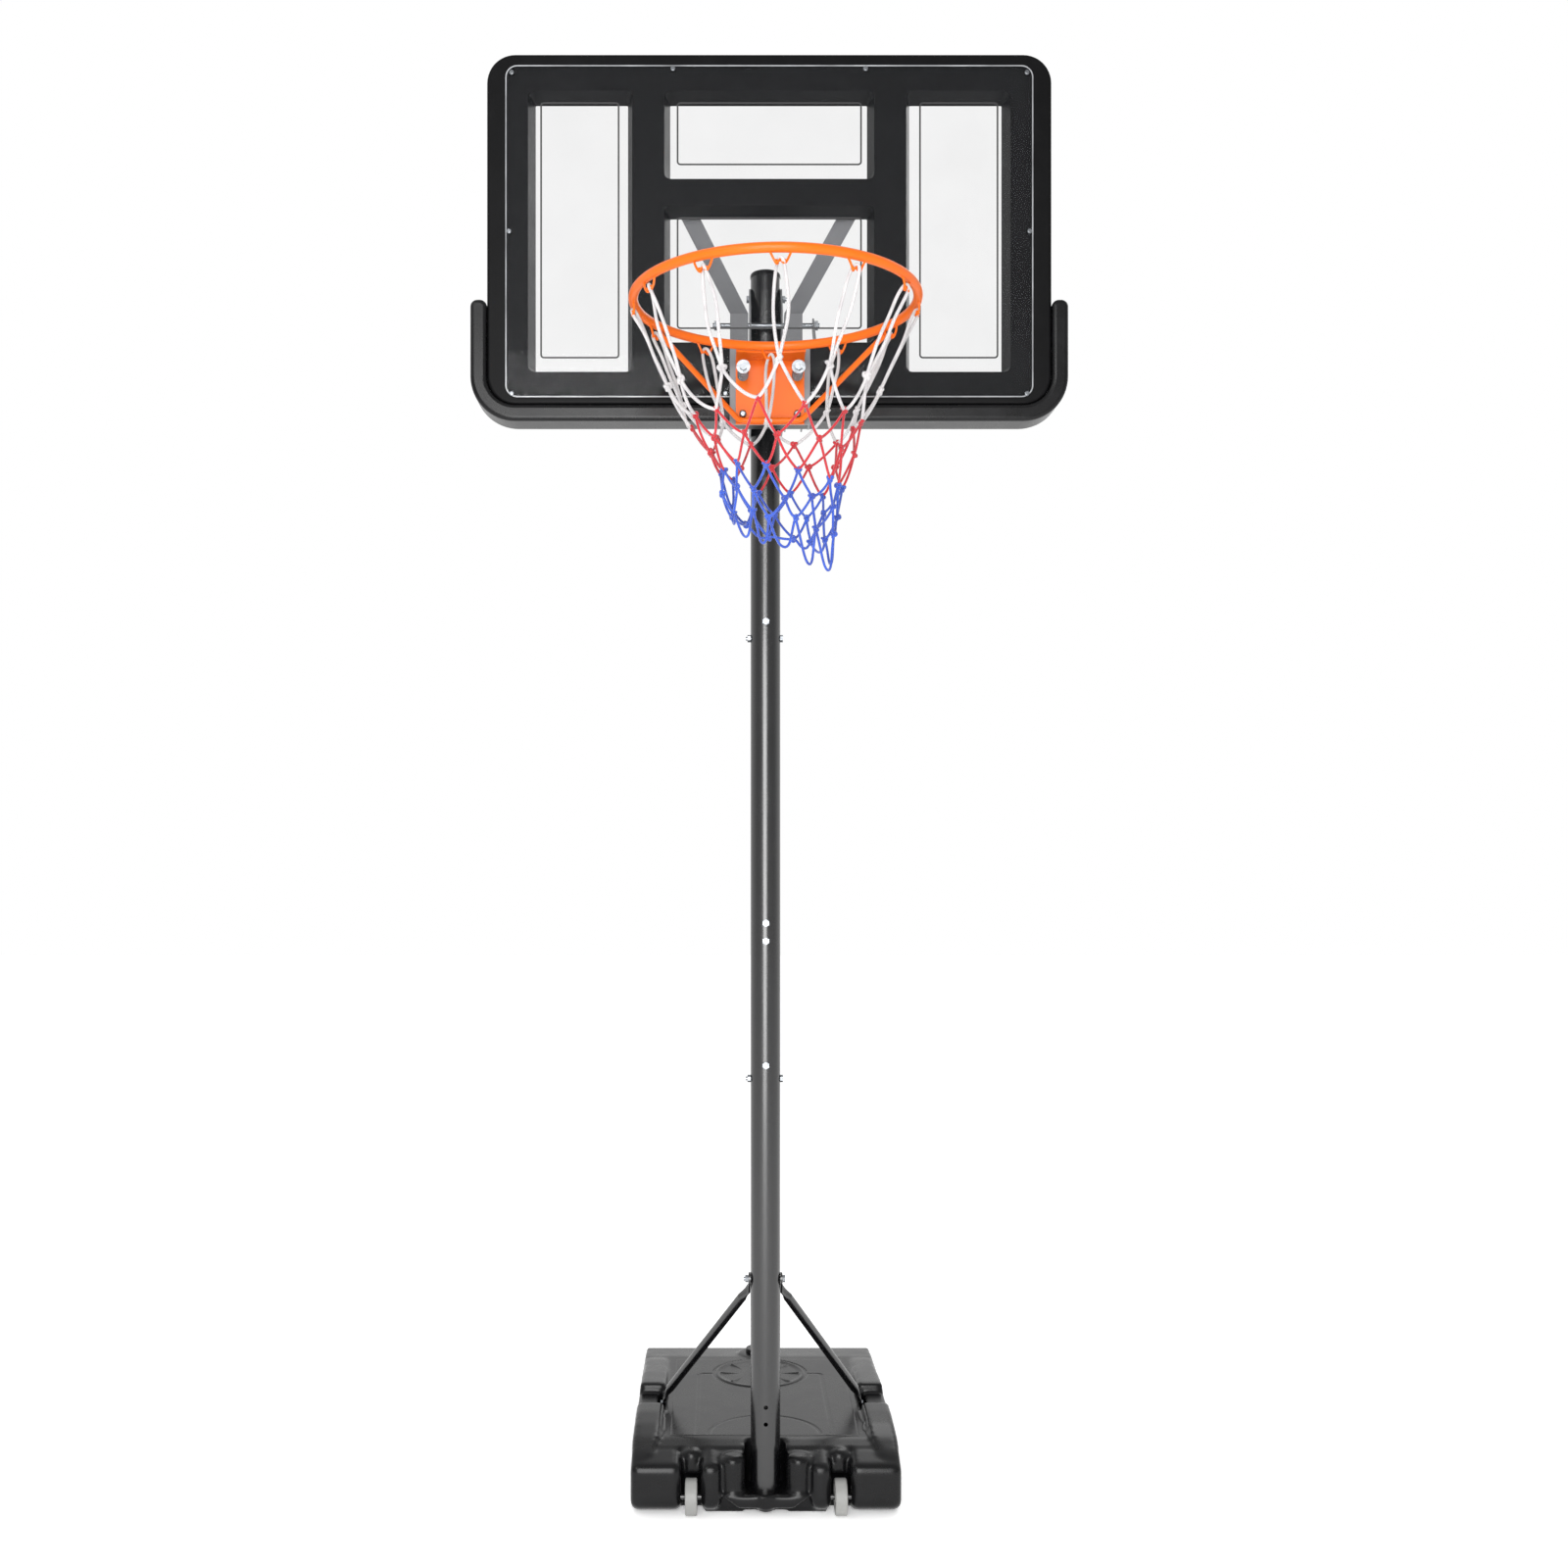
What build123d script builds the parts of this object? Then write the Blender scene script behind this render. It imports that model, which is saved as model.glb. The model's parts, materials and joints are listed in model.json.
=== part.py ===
from build123d import *
import os
from math import asin, atan2, cos, degrees, hypot, radians, sin

# Portable basketball hoop, in millimetres.
# The origin is on the floor under the pole's axis: +X to the right, +Y to the rear, +Z up.

# ---- driving dimensions ----
fit_gap = 0.3  # between pieces that are bolted or laid against each other
thread_gap = 0.05  # radial, between a shank and its nut, or an axle and its wheel
hole_gap = 0.3  # radial, round a bolt in a drilled hole

# pole
pole_radius = 30.0
pole_wall = 1.5
pole_foot = 6.0
lower_joint = 854.0
upper_joint = 1746.0
pole_top = 2494.0
neck_length = 85.0
neck_taper = 6.0
cap_height = 10.0
cap_plug_depth = 22.0
front_bolt_rise = 48.0  # front bolt above each pole joint
side_bolt_rise = 18.0  # side bolt above each pole joint
middle_bolt_heights = (1152.0, 1188.0)
spare_hole_heights = (180.0, 214.0)

# fasteners
bolt_radius = 4.0
bolt_head_width = 13.0
bolt_head_height = 5.3
nut_height = 6.5
bolt_tail = 3.0  # shank left showing past its nut

# base tank
tank_half_width = 272.0
tank_front = -50.0
tank_rear = 755.0
tank_wall = 5.0
deck_height = 130.0
shoulder_height = 150.0
shoulder_width = 62.0
nose_height = 103.0  # top of the front face
nose_length = 90.0  # from the front face back to the flat deck
shoulder_front = 70.0  # where the shoulders reach their full height
brow_length = 30.0  # rounded-over front end of each shoulder
brow_height = 119.0
front_bevel_length = 40.0  # slant under the front face
front_bevel_rise = 20.0
rear_slope_start = 590.0  # where deck and shoulders meet behind the ball emblem
rear_brow_y = 685.0
rear_brow_height = 122.0
rear_edge_height = 98.0
rear_corner = 95.0
front_corner = 28.0
ballast_height = 85.0
lobe_wall = 8.0
lip_height = 44.0
pocket_half_width = 41.0  # recess that the pole stands in
pocket_rear = 36.0
recess_half_width = 91.0
recess_depth = 30.0
pillar_radius = 25.0
pillar_rise = 74.0
fill_hole_y = 620.0
fill_hole_radius = 24.0
fill_ring_radius = 48.0
fill_ring_rise = 3.0
fill_cap_radius = 30.0
fill_cap_height = 9.0
fill_plug_depth = 18.0

# wheels
wheel_radius = 36.0
wheel_width = 24.0
wheel_x = 150.0
wheel_y = -35.0
wheel_floor_gap = 1.0
wheel_slot_width = 52.0
wheel_slot_rear_gap = 9.0
axle_radius = 5.0
axle_seat = 6.0  # how far the axle goes into the tank on each side

# struts
strut_radius = 9.5
strut_wall = 1.2
strut_tab_width = 26.0
strut_tab_thickness = 4.0
strut_tab_length = 30.0
strut_crush_length = 34.0
strut_bolt_height = 466.0
strut_foot_x = 213.0
strut_foot_y = 285.0
strut_foot_z = 118.0
notch_front = 205.0
notch_length = 120.0
notch_floor = 128.0
foot_pocket_floor = 98.0
foot_pocket_width = 16.0
foot_block_wall = 10.0
foot_bolt_depth = 20.0

# board
frame_width = 1056.0
frame_low = 2166.0
frame_high = 2821.0
frame_front = -260.0
frame_depth = 45.0
frame_corner = 53.0
frame_wall = 4.0
frame_edge_round = 6.0
panel_width = 987.0
panel_low = 2179.0
panel_high = 2800.0
panel_thickness = 4.0
panel_corner = 22.0
window_corner = 12.0
window_draft = 10.0  # how much each window wall leans in towards the rear
side_window_x = 354.0
side_window_width = 195.0
side_window_low = 2228.0
window_high = 2754.0
middle_window_width = 393.0
top_window_low = 2589.0
centre_window_low = 2283.0
centre_window_high = 2539.0
screw_radius = 2.0
screw_head_radius = 4.6
screw_head_height = 2.6
screw_inset = 7.0  # from the panel's edge
screw_corner_inset = 12.0
screw_corner_drop = 14.0
screw_top_x = 180.0
screw_bottom_x = 82.0

# bumper
bumper_band = 31.0  # how far it stands out from the frame's edge
bumper_rise = 196.0  # up each side, above the frame's lower edge
bumper_proud = 5.0  # in front of the frame
bumper_depth = 70.0
bumper_tip_round = 13.0
bumper_edge_round = 8.0
bumper_skin = 3.0

# rim
ring_standoff = 41.2  # from the plate's face to the ring
ring_inner_radius = 228.5
ring_tube_radius = 8.0
ring_height = 2245.0
plate_thickness = 4.0
plate_front = -304.3
plate_half_width = 63.0
plate_low = 2117.0
flange_length = 46.0
plate_hole_radius = 6.5
rim_bolt_x = 50.0
spring_bolt_height = 2205.0
lower_bolt_height = 2135.0
brace_radius = 5.0
brace_height = 2122.5
brace_half_width = 57.0
brace_bend = 18.0
brace_angle = 56.0  # where each end meets the ring, from its rear
spring_length = 57.0
spring_radius = 9.0  # to the middle of the wire
spring_wire_radius = 1.5
spring_turns = 8
washer_radius = 12.5
washer_thickness = 2.0
lower_bolt_play = 3.0  # lets the plate rock on its lower edge
hook_count = 12
hook_wire_radius = 1.75
hook_drop = 21.0
hook_half_width = 12.0
hook_foot_half_width = 4.0
hook_bend = 3.0

# net
net_length = 400.0
net_waist_drop = 185.0
net_waist_radius = 158.0
net_foot_radius = 97.0
net_thickness = 2.0
net_gap_angle = 24.0  # between two tongues, at the top
net_gap_depth = 150.0

# bracketry between board and pole
mount_half_width = 74.0
mount_thickness = 4.0
mount_high = 2262.0
mount_rear_low = 2184.0
mount_bolt_x = 52.0
mount_bolt_heights = (2200.0, 2246.0)
rear_plate_half_width = 85.0
rear_plate_low = 2172.0
rear_plate_high = 2270.0
bar_thickness = 3.0
arm_x = 54.0
arm_width = 36.0
arm_front = -62.0
arm_return = 27.0
arm_low = 2174.0
arm_bend = 2404.0
arm_board_x = 154.0
arm_tab_low = 2545.0
arm_tab_high = 2584.0
tie_bolt_radius = 5.0
tie_bolt_height = 2384.0
tie_bolt_y = -45.0
stay_x = 94.0
stay_width = 28.0
stay_foot_height = 2236.0
stay_tab_width = 30.0
bracket_bolt_heights = (2215.0, 2452.0)
bracket_ear_radius = 20.0
bracket_low = 2172.0
bracket_gusset_high = 2262.0
bracket_waist = 2300.0
bracket_shoulder = 2415.0
bracket_rear = 18.0
bracket_front = -56.0
tie_nut_width = 17.0
tie_nut_height = 8.0

# ---- sizes that follow ----
ring_radius = ring_inner_radius + ring_tube_radius
ring_centre_y = plate_front - ring_standoff - ring_radius - ring_tube_radius
frame_rear = frame_front + frame_depth
pole_bore = pole_radius - pole_wall
neck_radius = pole_bore - fit_gap
bolt_hole = bolt_radius + hole_gap
bumper_front = frame_front - bumper_proud
board_plane = Plane.XZ.offset(-frame_front)
plate_rear = plate_front + plate_thickness
web_front = plate_rear + fit_gap
web_rear = web_front + mount_thickness
washer_face = plate_front - spring_length
lower_bolts = (lower_joint + front_bolt_rise, lower_joint + side_bolt_rise)
upper_bolts = (upper_joint + front_bolt_rise, upper_joint + side_bolt_rise)
side_sign = {"left": -1, "right": 1}

os.makedirs("parts", exist_ok=True)


# ---- shared shapes ----
def hex_bolt(shank_radius, length, head_width, head_height):
    """A hex bolt along +Z, with the seat of its head at z = 0."""
    with BuildPart() as bolt:
        with BuildSketch():
            RegularPolygon(head_width / 2, 6, major_radius=False)
        extrude(amount=-head_height)
        with BuildSketch():
            Circle(shank_radius)
        extrude(amount=length)
    return bolt.part


def round_screw(shank_radius, length, head_radius, head_height):
    """A pan-head screw along +Z, with the seat of its head at z = 0."""
    with BuildPart() as screw:
        with BuildSketch():
            Circle(head_radius)
        extrude(amount=-head_height)
        fillet(screw.edges().group_by(Axis.Z)[0], head_height * 0.6)
        with BuildSketch():
            Circle(shank_radius)
        extrude(amount=length)
    return screw.part


def hex_nut(shank_radius, width, height):
    """A hex nut from z = 0 up, bored for a shank."""
    with BuildPart() as nut:
        with BuildSketch():
            RegularPolygon(width / 2, 6, major_radius=False)
            Circle(shank_radius + thread_gap, mode=Mode.SUBTRACT)
        extrude(amount=height)
    return nut.part


def flat_washer(bore_radius, outer_radius, thickness):
    """A washer from z = 0 down."""
    with BuildPart() as washer:
        with BuildSketch():
            Circle(outer_radius)
            Circle(bore_radius + thread_gap, mode=Mode.SUBTRACT)
        extrude(amount=-thickness)
    return washer.part


def facing(x, y, z, direction):
    """A plane at a point whose normal is the given direction."""
    return Plane(origin=(x, y, z), z_dir=direction)


def wall_box(x_range, y_range, z_range, mode=Mode.ADD):
    """A block between two limits on each axis, for the builder that is open."""
    low, high = z_range
    with BuildSketch(Plane.XY.offset(low)) as foot:
        with Locations((sum(x_range) / 2, sum(y_range) / 2)):
            Rectangle(abs(x_range[1] - x_range[0]), abs(y_range[1] - y_range[0]))
    extrude(foot.sketch, amount=high - low, mode=mode)


def mirrored_boxes(x_range, y_range, z_range, mode=Mode.ADD):
    """The same block on the right and on the left."""
    for side in side_sign.values():
        wall_box((side * x_range[0], side * x_range[1]), y_range, z_range, mode)


# ---- pole ----
def pole_section(bottom, top, neck, front_heights, side_heights, spare_heights=()):
    """One tube of the pole, drilled for its bolts, with or without a reduced neck on top."""
    with BuildPart() as section:
        with BuildSketch(Plane.XZ):
            with BuildLine():
                outer = [(pole_bore, bottom), (pole_radius, bottom), (pole_radius, top)]
                if neck:
                    outer += [
                        (neck_radius, top),
                        (neck_radius, top + neck_length),
                        (neck_radius - pole_wall, top + neck_length),
                        (neck_radius - pole_wall, top),
                        (pole_bore, top - neck_taper),
                    ]
                else:
                    outer.append((pole_bore, top))
                Polyline(*outer, close=True)
            make_face()
        revolve(axis=Axis.Z)
        with BuildSketch(Plane.XZ):
            with Locations(*[(0, height) for height in front_heights]):
                Circle(bolt_hole)
        extrude(amount=2 * pole_radius, both=True, mode=Mode.SUBTRACT)
        with BuildSketch(Plane.YZ):
            with Locations(*[(0, height) for height in side_heights]):
                Circle(bolt_hole)
        extrude(amount=2 * pole_radius, both=True, mode=Mode.SUBTRACT)
        for height in spare_heights:
            with BuildSketch(Plane.XZ):
                with Locations((0, height)):
                    Circle(bolt_hole)
            extrude(amount=2 * pole_radius, mode=Mode.SUBTRACT)
    return section.part


with BuildPart() as lower_pole:
    add(
        pole_section(
            pole_foot,
            lower_joint,
            True,
            [lower_bolts[0]],
            [lower_bolts[1], strut_bolt_height],
            spare_hole_heights,
        )
    )
lower_pole.part.label = "lower_pole"
export_step(lower_pole.part, "parts/lower_pole.step")

with BuildPart() as mid_pole:
    add(
        pole_section(
            lower_joint,
            upper_joint,
            True,
            [lower_bolts[0], *middle_bolt_heights, upper_bolts[0]],
            [lower_bolts[1], upper_bolts[1]],
        )
    )
mid_pole.part.label = "mid_pole"
export_step(mid_pole.part, "parts/mid_pole.step")

with BuildPart() as upper_pole:
    add(
        pole_section(
            upper_joint,
            pole_top,
            False,
            [upper_bolts[0]],
            [upper_bolts[1], *bracket_bolt_heights],
        )
    )
upper_pole.part.label = "upper_pole"
export_step(upper_pole.part, "parts/upper_pole.step")

with BuildPart() as pole_cap:
    with BuildSketch(Plane.XY.offset(pole_top)):
        Circle(pole_radius + 1)
    extrude(amount=cap_height)
    fillet(pole_cap.edges().group_by(Axis.Z)[-1], cap_height * 0.6)
    with BuildSketch(Plane.XY.offset(pole_top)):
        Circle(pole_bore - fit_gap)
    extrude(amount=-cap_plug_depth)
pole_cap.part.label = "pole_cap"
export_step(pole_cap.part, "parts/pole_cap.step")

# bolts through the pole joints: their heads face the front or the right
front_bolt_heights = [lower_bolts[0], *middle_bolt_heights, upper_bolts[0]]
side_bolt_heights = [lower_bolts[1], upper_bolts[1]]
front_seats = [facing(0, -pole_radius, height, (0, 1, 0)) for height in front_bolt_heights]
side_seats = [facing(pole_radius, 0, height, (-1, 0, 0)) for height in side_bolt_heights]
pole_bolt_length = 2 * pole_radius + nut_height + bolt_tail

with BuildPart() as pole_bolts:
    with Locations(*front_seats, *side_seats):
        add(hex_bolt(bolt_radius, pole_bolt_length, bolt_head_width, bolt_head_height))
pole_bolts.part.label = "pole_bolts"
export_step(pole_bolts.part, "parts/pole_bolts.step")

with BuildPart() as pole_nuts:
    with Locations(*[seat.offset(2 * pole_radius) for seat in [*front_seats, *side_seats]]):
        add(hex_nut(bolt_radius, bolt_head_width, nut_height))
pole_nuts.part.label = "pole_nuts"
export_step(pole_nuts.part, "parts/pole_nuts.step")

# ---- base tank ----
slot_inner = wheel_x - wheel_slot_width / 2
slot_outer = wheel_x + wheel_slot_width / 2
slot_rear = wheel_y + wheel_radius + wheel_slot_rear_gap
axle_height = wheel_radius + wheel_floor_gap
notch_rear = notch_front + notch_length
shoulder_inner = tank_half_width - shoulder_width
cavity_front = pocket_rear + tank_wall
pocket_outer = strut_foot_x + foot_pocket_width
block_low = tank_wall + ballast_height + 2
recess_rear = tank_front + recess_depth

with BuildPart() as water_space:
    with BuildSketch(Plane.XY.offset(tank_wall)) as cavity_plan:
        with Locations((0, (cavity_front + tank_rear - tank_wall) / 2)):
            Rectangle(2 * (tank_half_width - tank_wall), tank_rear - tank_wall - cavity_front)
        fillet(cavity_plan.vertices().group_by(Axis.Y)[-1], rear_corner - tank_wall)
    extrude(amount=deck_height - 2 * tank_wall)
    with BuildSketch(Plane.YZ):
        with BuildLine():
            Polyline(
                (cavity_front, tank_wall),
                (cavity_front, deck_height - tank_wall),
                (rear_slope_start, deck_height - tank_wall),
                (rear_brow_y - tank_wall / 2, rear_brow_height - tank_wall),
                (tank_rear, rear_edge_height - 1.4 * tank_wall),
                (tank_rear, tank_wall),
                close=True,
            )
        make_face()
    extrude(amount=tank_half_width, both=True, mode=Mode.INTERSECT)

with BuildPart() as base_tank:
    # outer block: plan outline, cut to the side profile
    with BuildSketch() as tank_plan:
        with Locations((0, (tank_front + tank_rear) / 2)):
            Rectangle(2 * tank_half_width, tank_rear - tank_front)
        fillet(tank_plan.vertices().group_by(Axis.Y)[-1], rear_corner)
        fillet(tank_plan.vertices().group_by(Axis.Y)[0], front_corner)
    extrude(amount=shoulder_height)
    with BuildSketch(Plane.YZ):
        with BuildLine():
            Polyline(
                (tank_front + front_bevel_length, 0),
                (tank_front, front_bevel_rise),
                (tank_front, nose_height),
                (tank_front + brow_length, brow_height),
                (shoulder_front, shoulder_height),
                (notch_rear + foot_block_wall, shoulder_height),
                (rear_slope_start, deck_height),
                (rear_brow_y, rear_brow_height),
                (tank_rear, rear_edge_height),
                (tank_rear, 0),
                close=True,
            )
        make_face()
    extrude(amount=tank_half_width, both=True, mode=Mode.INTERSECT)
    # the deck between the two shoulders
    with BuildSketch(Plane.XZ.offset(-tank_rear)):
        with BuildLine():
            Polyline(
                (-shoulder_inner, deck_height),
                (shoulder_inner, deck_height),
                (shoulder_inner + shoulder_height - deck_height, shoulder_height),
                (-shoulder_inner - shoulder_height + deck_height, shoulder_height),
                close=True,
            )
        make_face()
    extrude(amount=tank_rear - tank_front, mode=Mode.SUBTRACT)
    # the nose slopes down from the deck between the shoulders
    with BuildSketch(Plane.YZ):
        with BuildLine():
            Polyline(
                (tank_front, nose_height),
                (tank_front, shoulder_height),
                (tank_front + nose_length, shoulder_height),
                (tank_front + nose_length, deck_height),
                close=True,
            )
        make_face()
    extrude(amount=shoulder_inner, both=True, mode=Mode.SUBTRACT)
    # the space for water, with an arm into each outer front lobe
    add(water_space.part, mode=Mode.SUBTRACT)
    mirrored_boxes(
        (slot_outer + lobe_wall, tank_half_width - lobe_wall),
        (tank_front + lobe_wall, cavity_front),
        (front_bevel_rise + tank_wall, nose_height - tank_wall),
        Mode.SUBTRACT,
    )
    # the hollow runs up into each shoulder, in front of the strut's seat
    mirrored_boxes(
        (shoulder_inner + shoulder_height - deck_height, tank_half_width - tank_wall),
        (shoulder_front + tank_wall, notch_front - foot_block_wall),
        (deck_height - tank_wall, shoulder_height - tank_wall),
        Mode.SUBTRACT,
    )
    # a solid seat for each strut foot, notched from above
    mirrored_boxes(
        (strut_foot_x - foot_bolt_depth - tank_wall, tank_half_width - tank_wall),
        (notch_front - foot_block_wall, notch_rear + foot_block_wall),
        (block_low, deck_height),
    )
    mirrored_boxes(
        (strut_foot_x - foot_bolt_depth, tank_half_width + tank_wall),
        (notch_front, notch_rear),
        (notch_floor, shoulder_height),
        Mode.SUBTRACT,
    )
    mirrored_boxes(
        (strut_foot_x, pocket_outer),
        (notch_front, notch_rear),
        (foot_pocket_floor, notch_floor),
        Mode.SUBTRACT,
    )
    for side in side_sign.values():
        with BuildSketch(Plane.YZ.offset(side * strut_foot_x)):
            with Locations((strut_foot_y, strut_foot_z)):
                Circle(bolt_radius + thread_gap)
        extrude(amount=-side * foot_bolt_depth, mode=Mode.SUBTRACT)
    # wheel slots
    mirrored_boxes(
        (slot_inner, slot_outer), (tank_front, slot_rear), (0, shoulder_height), Mode.SUBTRACT
    )
    # recess in the front with a pillar on each side of the pole
    wall_box(
        (-recess_half_width, recess_half_width),
        (tank_front, recess_rear),
        (lip_height, shoulder_height),
        Mode.SUBTRACT,
    )
    with BuildSketch(Plane.XY.offset(lip_height)):
        with Locations(
            (-pocket_half_width - pillar_radius, recess_rear),
            (pocket_half_width + pillar_radius, recess_rear),
        ):
            Circle(pillar_radius)
    extrude(amount=pillar_rise)
    wall_box(
        (-pocket_half_width, pocket_half_width),
        (tank_front, pocket_rear),
        (lip_height, shoulder_height),
        Mode.SUBTRACT,
    )
    with BuildSketch(Plane.XY.offset(pole_foot)):
        Circle(pole_radius + fit_gap)
    extrude(amount=lip_height, mode=Mode.SUBTRACT)
    # seats for the wheel axles
    for side in side_sign.values():
        with BuildSketch(Plane.YZ.offset(side * (slot_inner - axle_seat))):
            with Locations((wheel_y, axle_height)):
                Circle(axle_radius + thread_gap)
        extrude(amount=side * (wheel_slot_width + 2 * axle_seat), mode=Mode.SUBTRACT)
    # filling hole with a raised ring, which starts inside the deck's slope
    with BuildSketch(Plane.XY.offset(deck_height + fill_ring_rise)):
        with Locations((0, fill_hole_y)):
            Circle(fill_ring_radius)
    extrude(amount=-fill_ring_rise - 2 * tank_wall)
    with BuildSketch(Plane.XY.offset(deck_height + fill_ring_rise)):
        with Locations((0, fill_hole_y)):
            Circle(fill_hole_radius)
    extrude(amount=-fill_ring_rise - 3 * tank_wall, mode=Mode.SUBTRACT)
base_tank.part.label = "base_tank"
export_step(base_tank.part, "parts/base_tank.step")

with BuildPart() as ballast_water:
    with BuildSketch(Plane.XY.offset(tank_wall + fit_gap)) as water_plan:
        with Locations((0, (cavity_front + tank_rear - tank_wall) / 2)):
            Rectangle(
                2 * (tank_half_width - tank_wall - fit_gap),
                tank_rear - tank_wall - cavity_front - 2 * fit_gap,
            )
        fillet(water_plan.vertices().group_by(Axis.Y)[-1], rear_corner - tank_wall - fit_gap)
    extrude(amount=ballast_height)
ballast_water.part.label = "ballast_water"
export_step(ballast_water.part, "parts/ballast_water.step")

with BuildPart() as fill_cap:
    with BuildSketch(Plane.XY.offset(deck_height + fill_ring_rise + fit_gap)):
        with Locations((0, fill_hole_y)):
            Circle(fill_cap_radius)
    extrude(amount=fill_cap_height)
    fillet(fill_cap.edges().group_by(Axis.Z)[-1], fill_cap_height / 4)
    with BuildSketch(Plane.XY.offset(deck_height + fill_ring_rise + fit_gap)):
        with Locations((0, fill_hole_y)):
            Circle(fill_hole_radius - fit_gap)
    extrude(amount=-fill_plug_depth)
fill_cap.part.label = "fill_cap"
export_step(fill_cap.part, "parts/fill_cap.step")

# ---- wheels ----
for name, side in side_sign.items():
    wheel_plane = Plane(origin=(side * wheel_x, wheel_y, axle_height), z_dir=(1, 0, 0))
    with BuildPart() as wheel:
        with BuildSketch(wheel_plane.offset(-wheel_width / 2)):
            Circle(wheel_radius)
        extrude(amount=wheel_width)
        fillet(wheel.edges(), wheel_width / 8)
        for face_side in (-1, 1):
            with BuildSketch(wheel_plane.offset(face_side * wheel_width / 2)):
                Circle(wheel_radius * 0.72)
                Circle(wheel_radius * 0.3, mode=Mode.SUBTRACT)
            extrude(amount=-face_side * wheel_width / 4, mode=Mode.SUBTRACT)
        with BuildSketch(wheel_plane):
            Circle(axle_radius + thread_gap)
        extrude(amount=wheel_width, both=True, mode=Mode.SUBTRACT)
    wheel.part.label = f"wheel_{name}"
    export_step(wheel.part, f"parts/wheel_{name}.step")

    with BuildPart() as wheel_axle:
        with BuildSketch(wheel_plane):
            Circle(axle_radius)
        extrude(amount=wheel_slot_width / 2 + axle_seat, both=True)
    wheel_axle.part.label = f"wheel_axle_{name}"
    export_step(wheel_axle.part, f"parts/wheel_axle_{name}.step")

# ---- struts ----
strut_drop = Vector(0, strut_foot_y, strut_foot_z - strut_bolt_height).normalized()
for name, side in side_sign.items():
    tab_middle = strut_tab_thickness / 2 + fit_gap
    top_point = Vector(side * (pole_radius + tab_middle), 0, strut_bolt_height)
    foot_point = Vector(side * (strut_foot_x + tab_middle), strut_foot_y, strut_foot_z)
    top_bend = top_point + strut_drop * strut_tab_length
    foot_bend = foot_point - strut_drop * strut_tab_length
    slope = (foot_bend - top_bend).normalized()
    with BuildPart() as strut:
        # the two flattened ends, rounded about their bolts
        for point, bend in ((top_point, top_bend), (foot_point, foot_bend)):
            along = (bend - point).normalized()
            tab_plane = Plane(origin=point, x_dir=along, z_dir=(1, 0, 0))
            with BuildSketch(tab_plane):
                Circle(strut_tab_width / 2)
                with Locations((strut_tab_length / 2, 0)):
                    Rectangle(strut_tab_length, strut_tab_width)
            extrude(amount=strut_tab_thickness / 2, both=True)
        # each end swells from the flat to the round tube
        for bend, towards in ((top_bend, slope), (foot_bend, -slope)):
            drop = strut_drop if towards is slope else -strut_drop
            flat_plane = Plane(origin=bend, x_dir=(1, 0, 0), z_dir=drop)
            tube_plane = Plane(
                origin=bend + towards * strut_crush_length,
                x_dir=flat_plane.x_dir - towards * flat_plane.x_dir.dot(towards),
                z_dir=towards,
            )
            with BuildSketch(flat_plane):
                RectangleRounded(
                    strut_tab_thickness, strut_tab_width, strut_tab_thickness * 0.45
                )
            with BuildSketch(tube_plane):
                Circle(strut_radius)
            loft()
        tube_length = (foot_bend - top_bend).length - 2 * strut_crush_length
        tube_start = Plane(origin=top_bend + slope * strut_crush_length, z_dir=slope)
        with BuildSketch(tube_start):
            Circle(strut_radius)
        extrude(amount=tube_length)
        with BuildSketch(tube_start):
            Circle(strut_radius - strut_wall)
        extrude(amount=tube_length, mode=Mode.SUBTRACT)
        for point in (top_point, foot_point):
            with BuildSketch(Plane(origin=point, z_dir=(1, 0, 0))):
                Circle(bolt_hole)
            extrude(amount=strut_tab_thickness, both=True, mode=Mode.SUBTRACT)
    strut.part.label = f"strut_{name}"
    export_step(strut.part, f"parts/strut_{name}.step")

strut_grip = 2 * (pole_radius + strut_tab_thickness + 2 * fit_gap)
strut_seat = facing(strut_grip / 2, 0, strut_bolt_height, (-1, 0, 0))
with BuildPart() as strut_top_bolt:
    with Locations(strut_seat):
        add(
            hex_bolt(
                bolt_radius, strut_grip + nut_height + bolt_tail, bolt_head_width, bolt_head_height
            )
        )
strut_top_bolt.part.label = "strut_top_bolt"
export_step(strut_top_bolt.part, "parts/strut_top_bolt.step")

with BuildPart() as strut_top_nut:
    with Locations(strut_seat.offset(strut_grip)):
        add(hex_nut(bolt_radius, bolt_head_width, nut_height))
strut_top_nut.part.label = "strut_top_nut"
export_step(strut_top_nut.part, "parts/strut_top_nut.step")

foot_seat_x = strut_foot_x + strut_tab_thickness + 2 * fit_gap
foot_bolt_length = foot_seat_x - strut_foot_x + foot_bolt_depth - 1
with BuildPart() as strut_foot_bolts:
    with Locations(
        *[
            facing(side * foot_seat_x, strut_foot_y, strut_foot_z, (-side, 0, 0))
            for side in side_sign.values()
        ]
    ):
        add(hex_bolt(bolt_radius, foot_bolt_length, bolt_head_width, bolt_head_height))
strut_foot_bolts.part.label = "strut_foot_bolts"
export_step(strut_foot_bolts.part, "parts/strut_foot_bolts.step")

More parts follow.
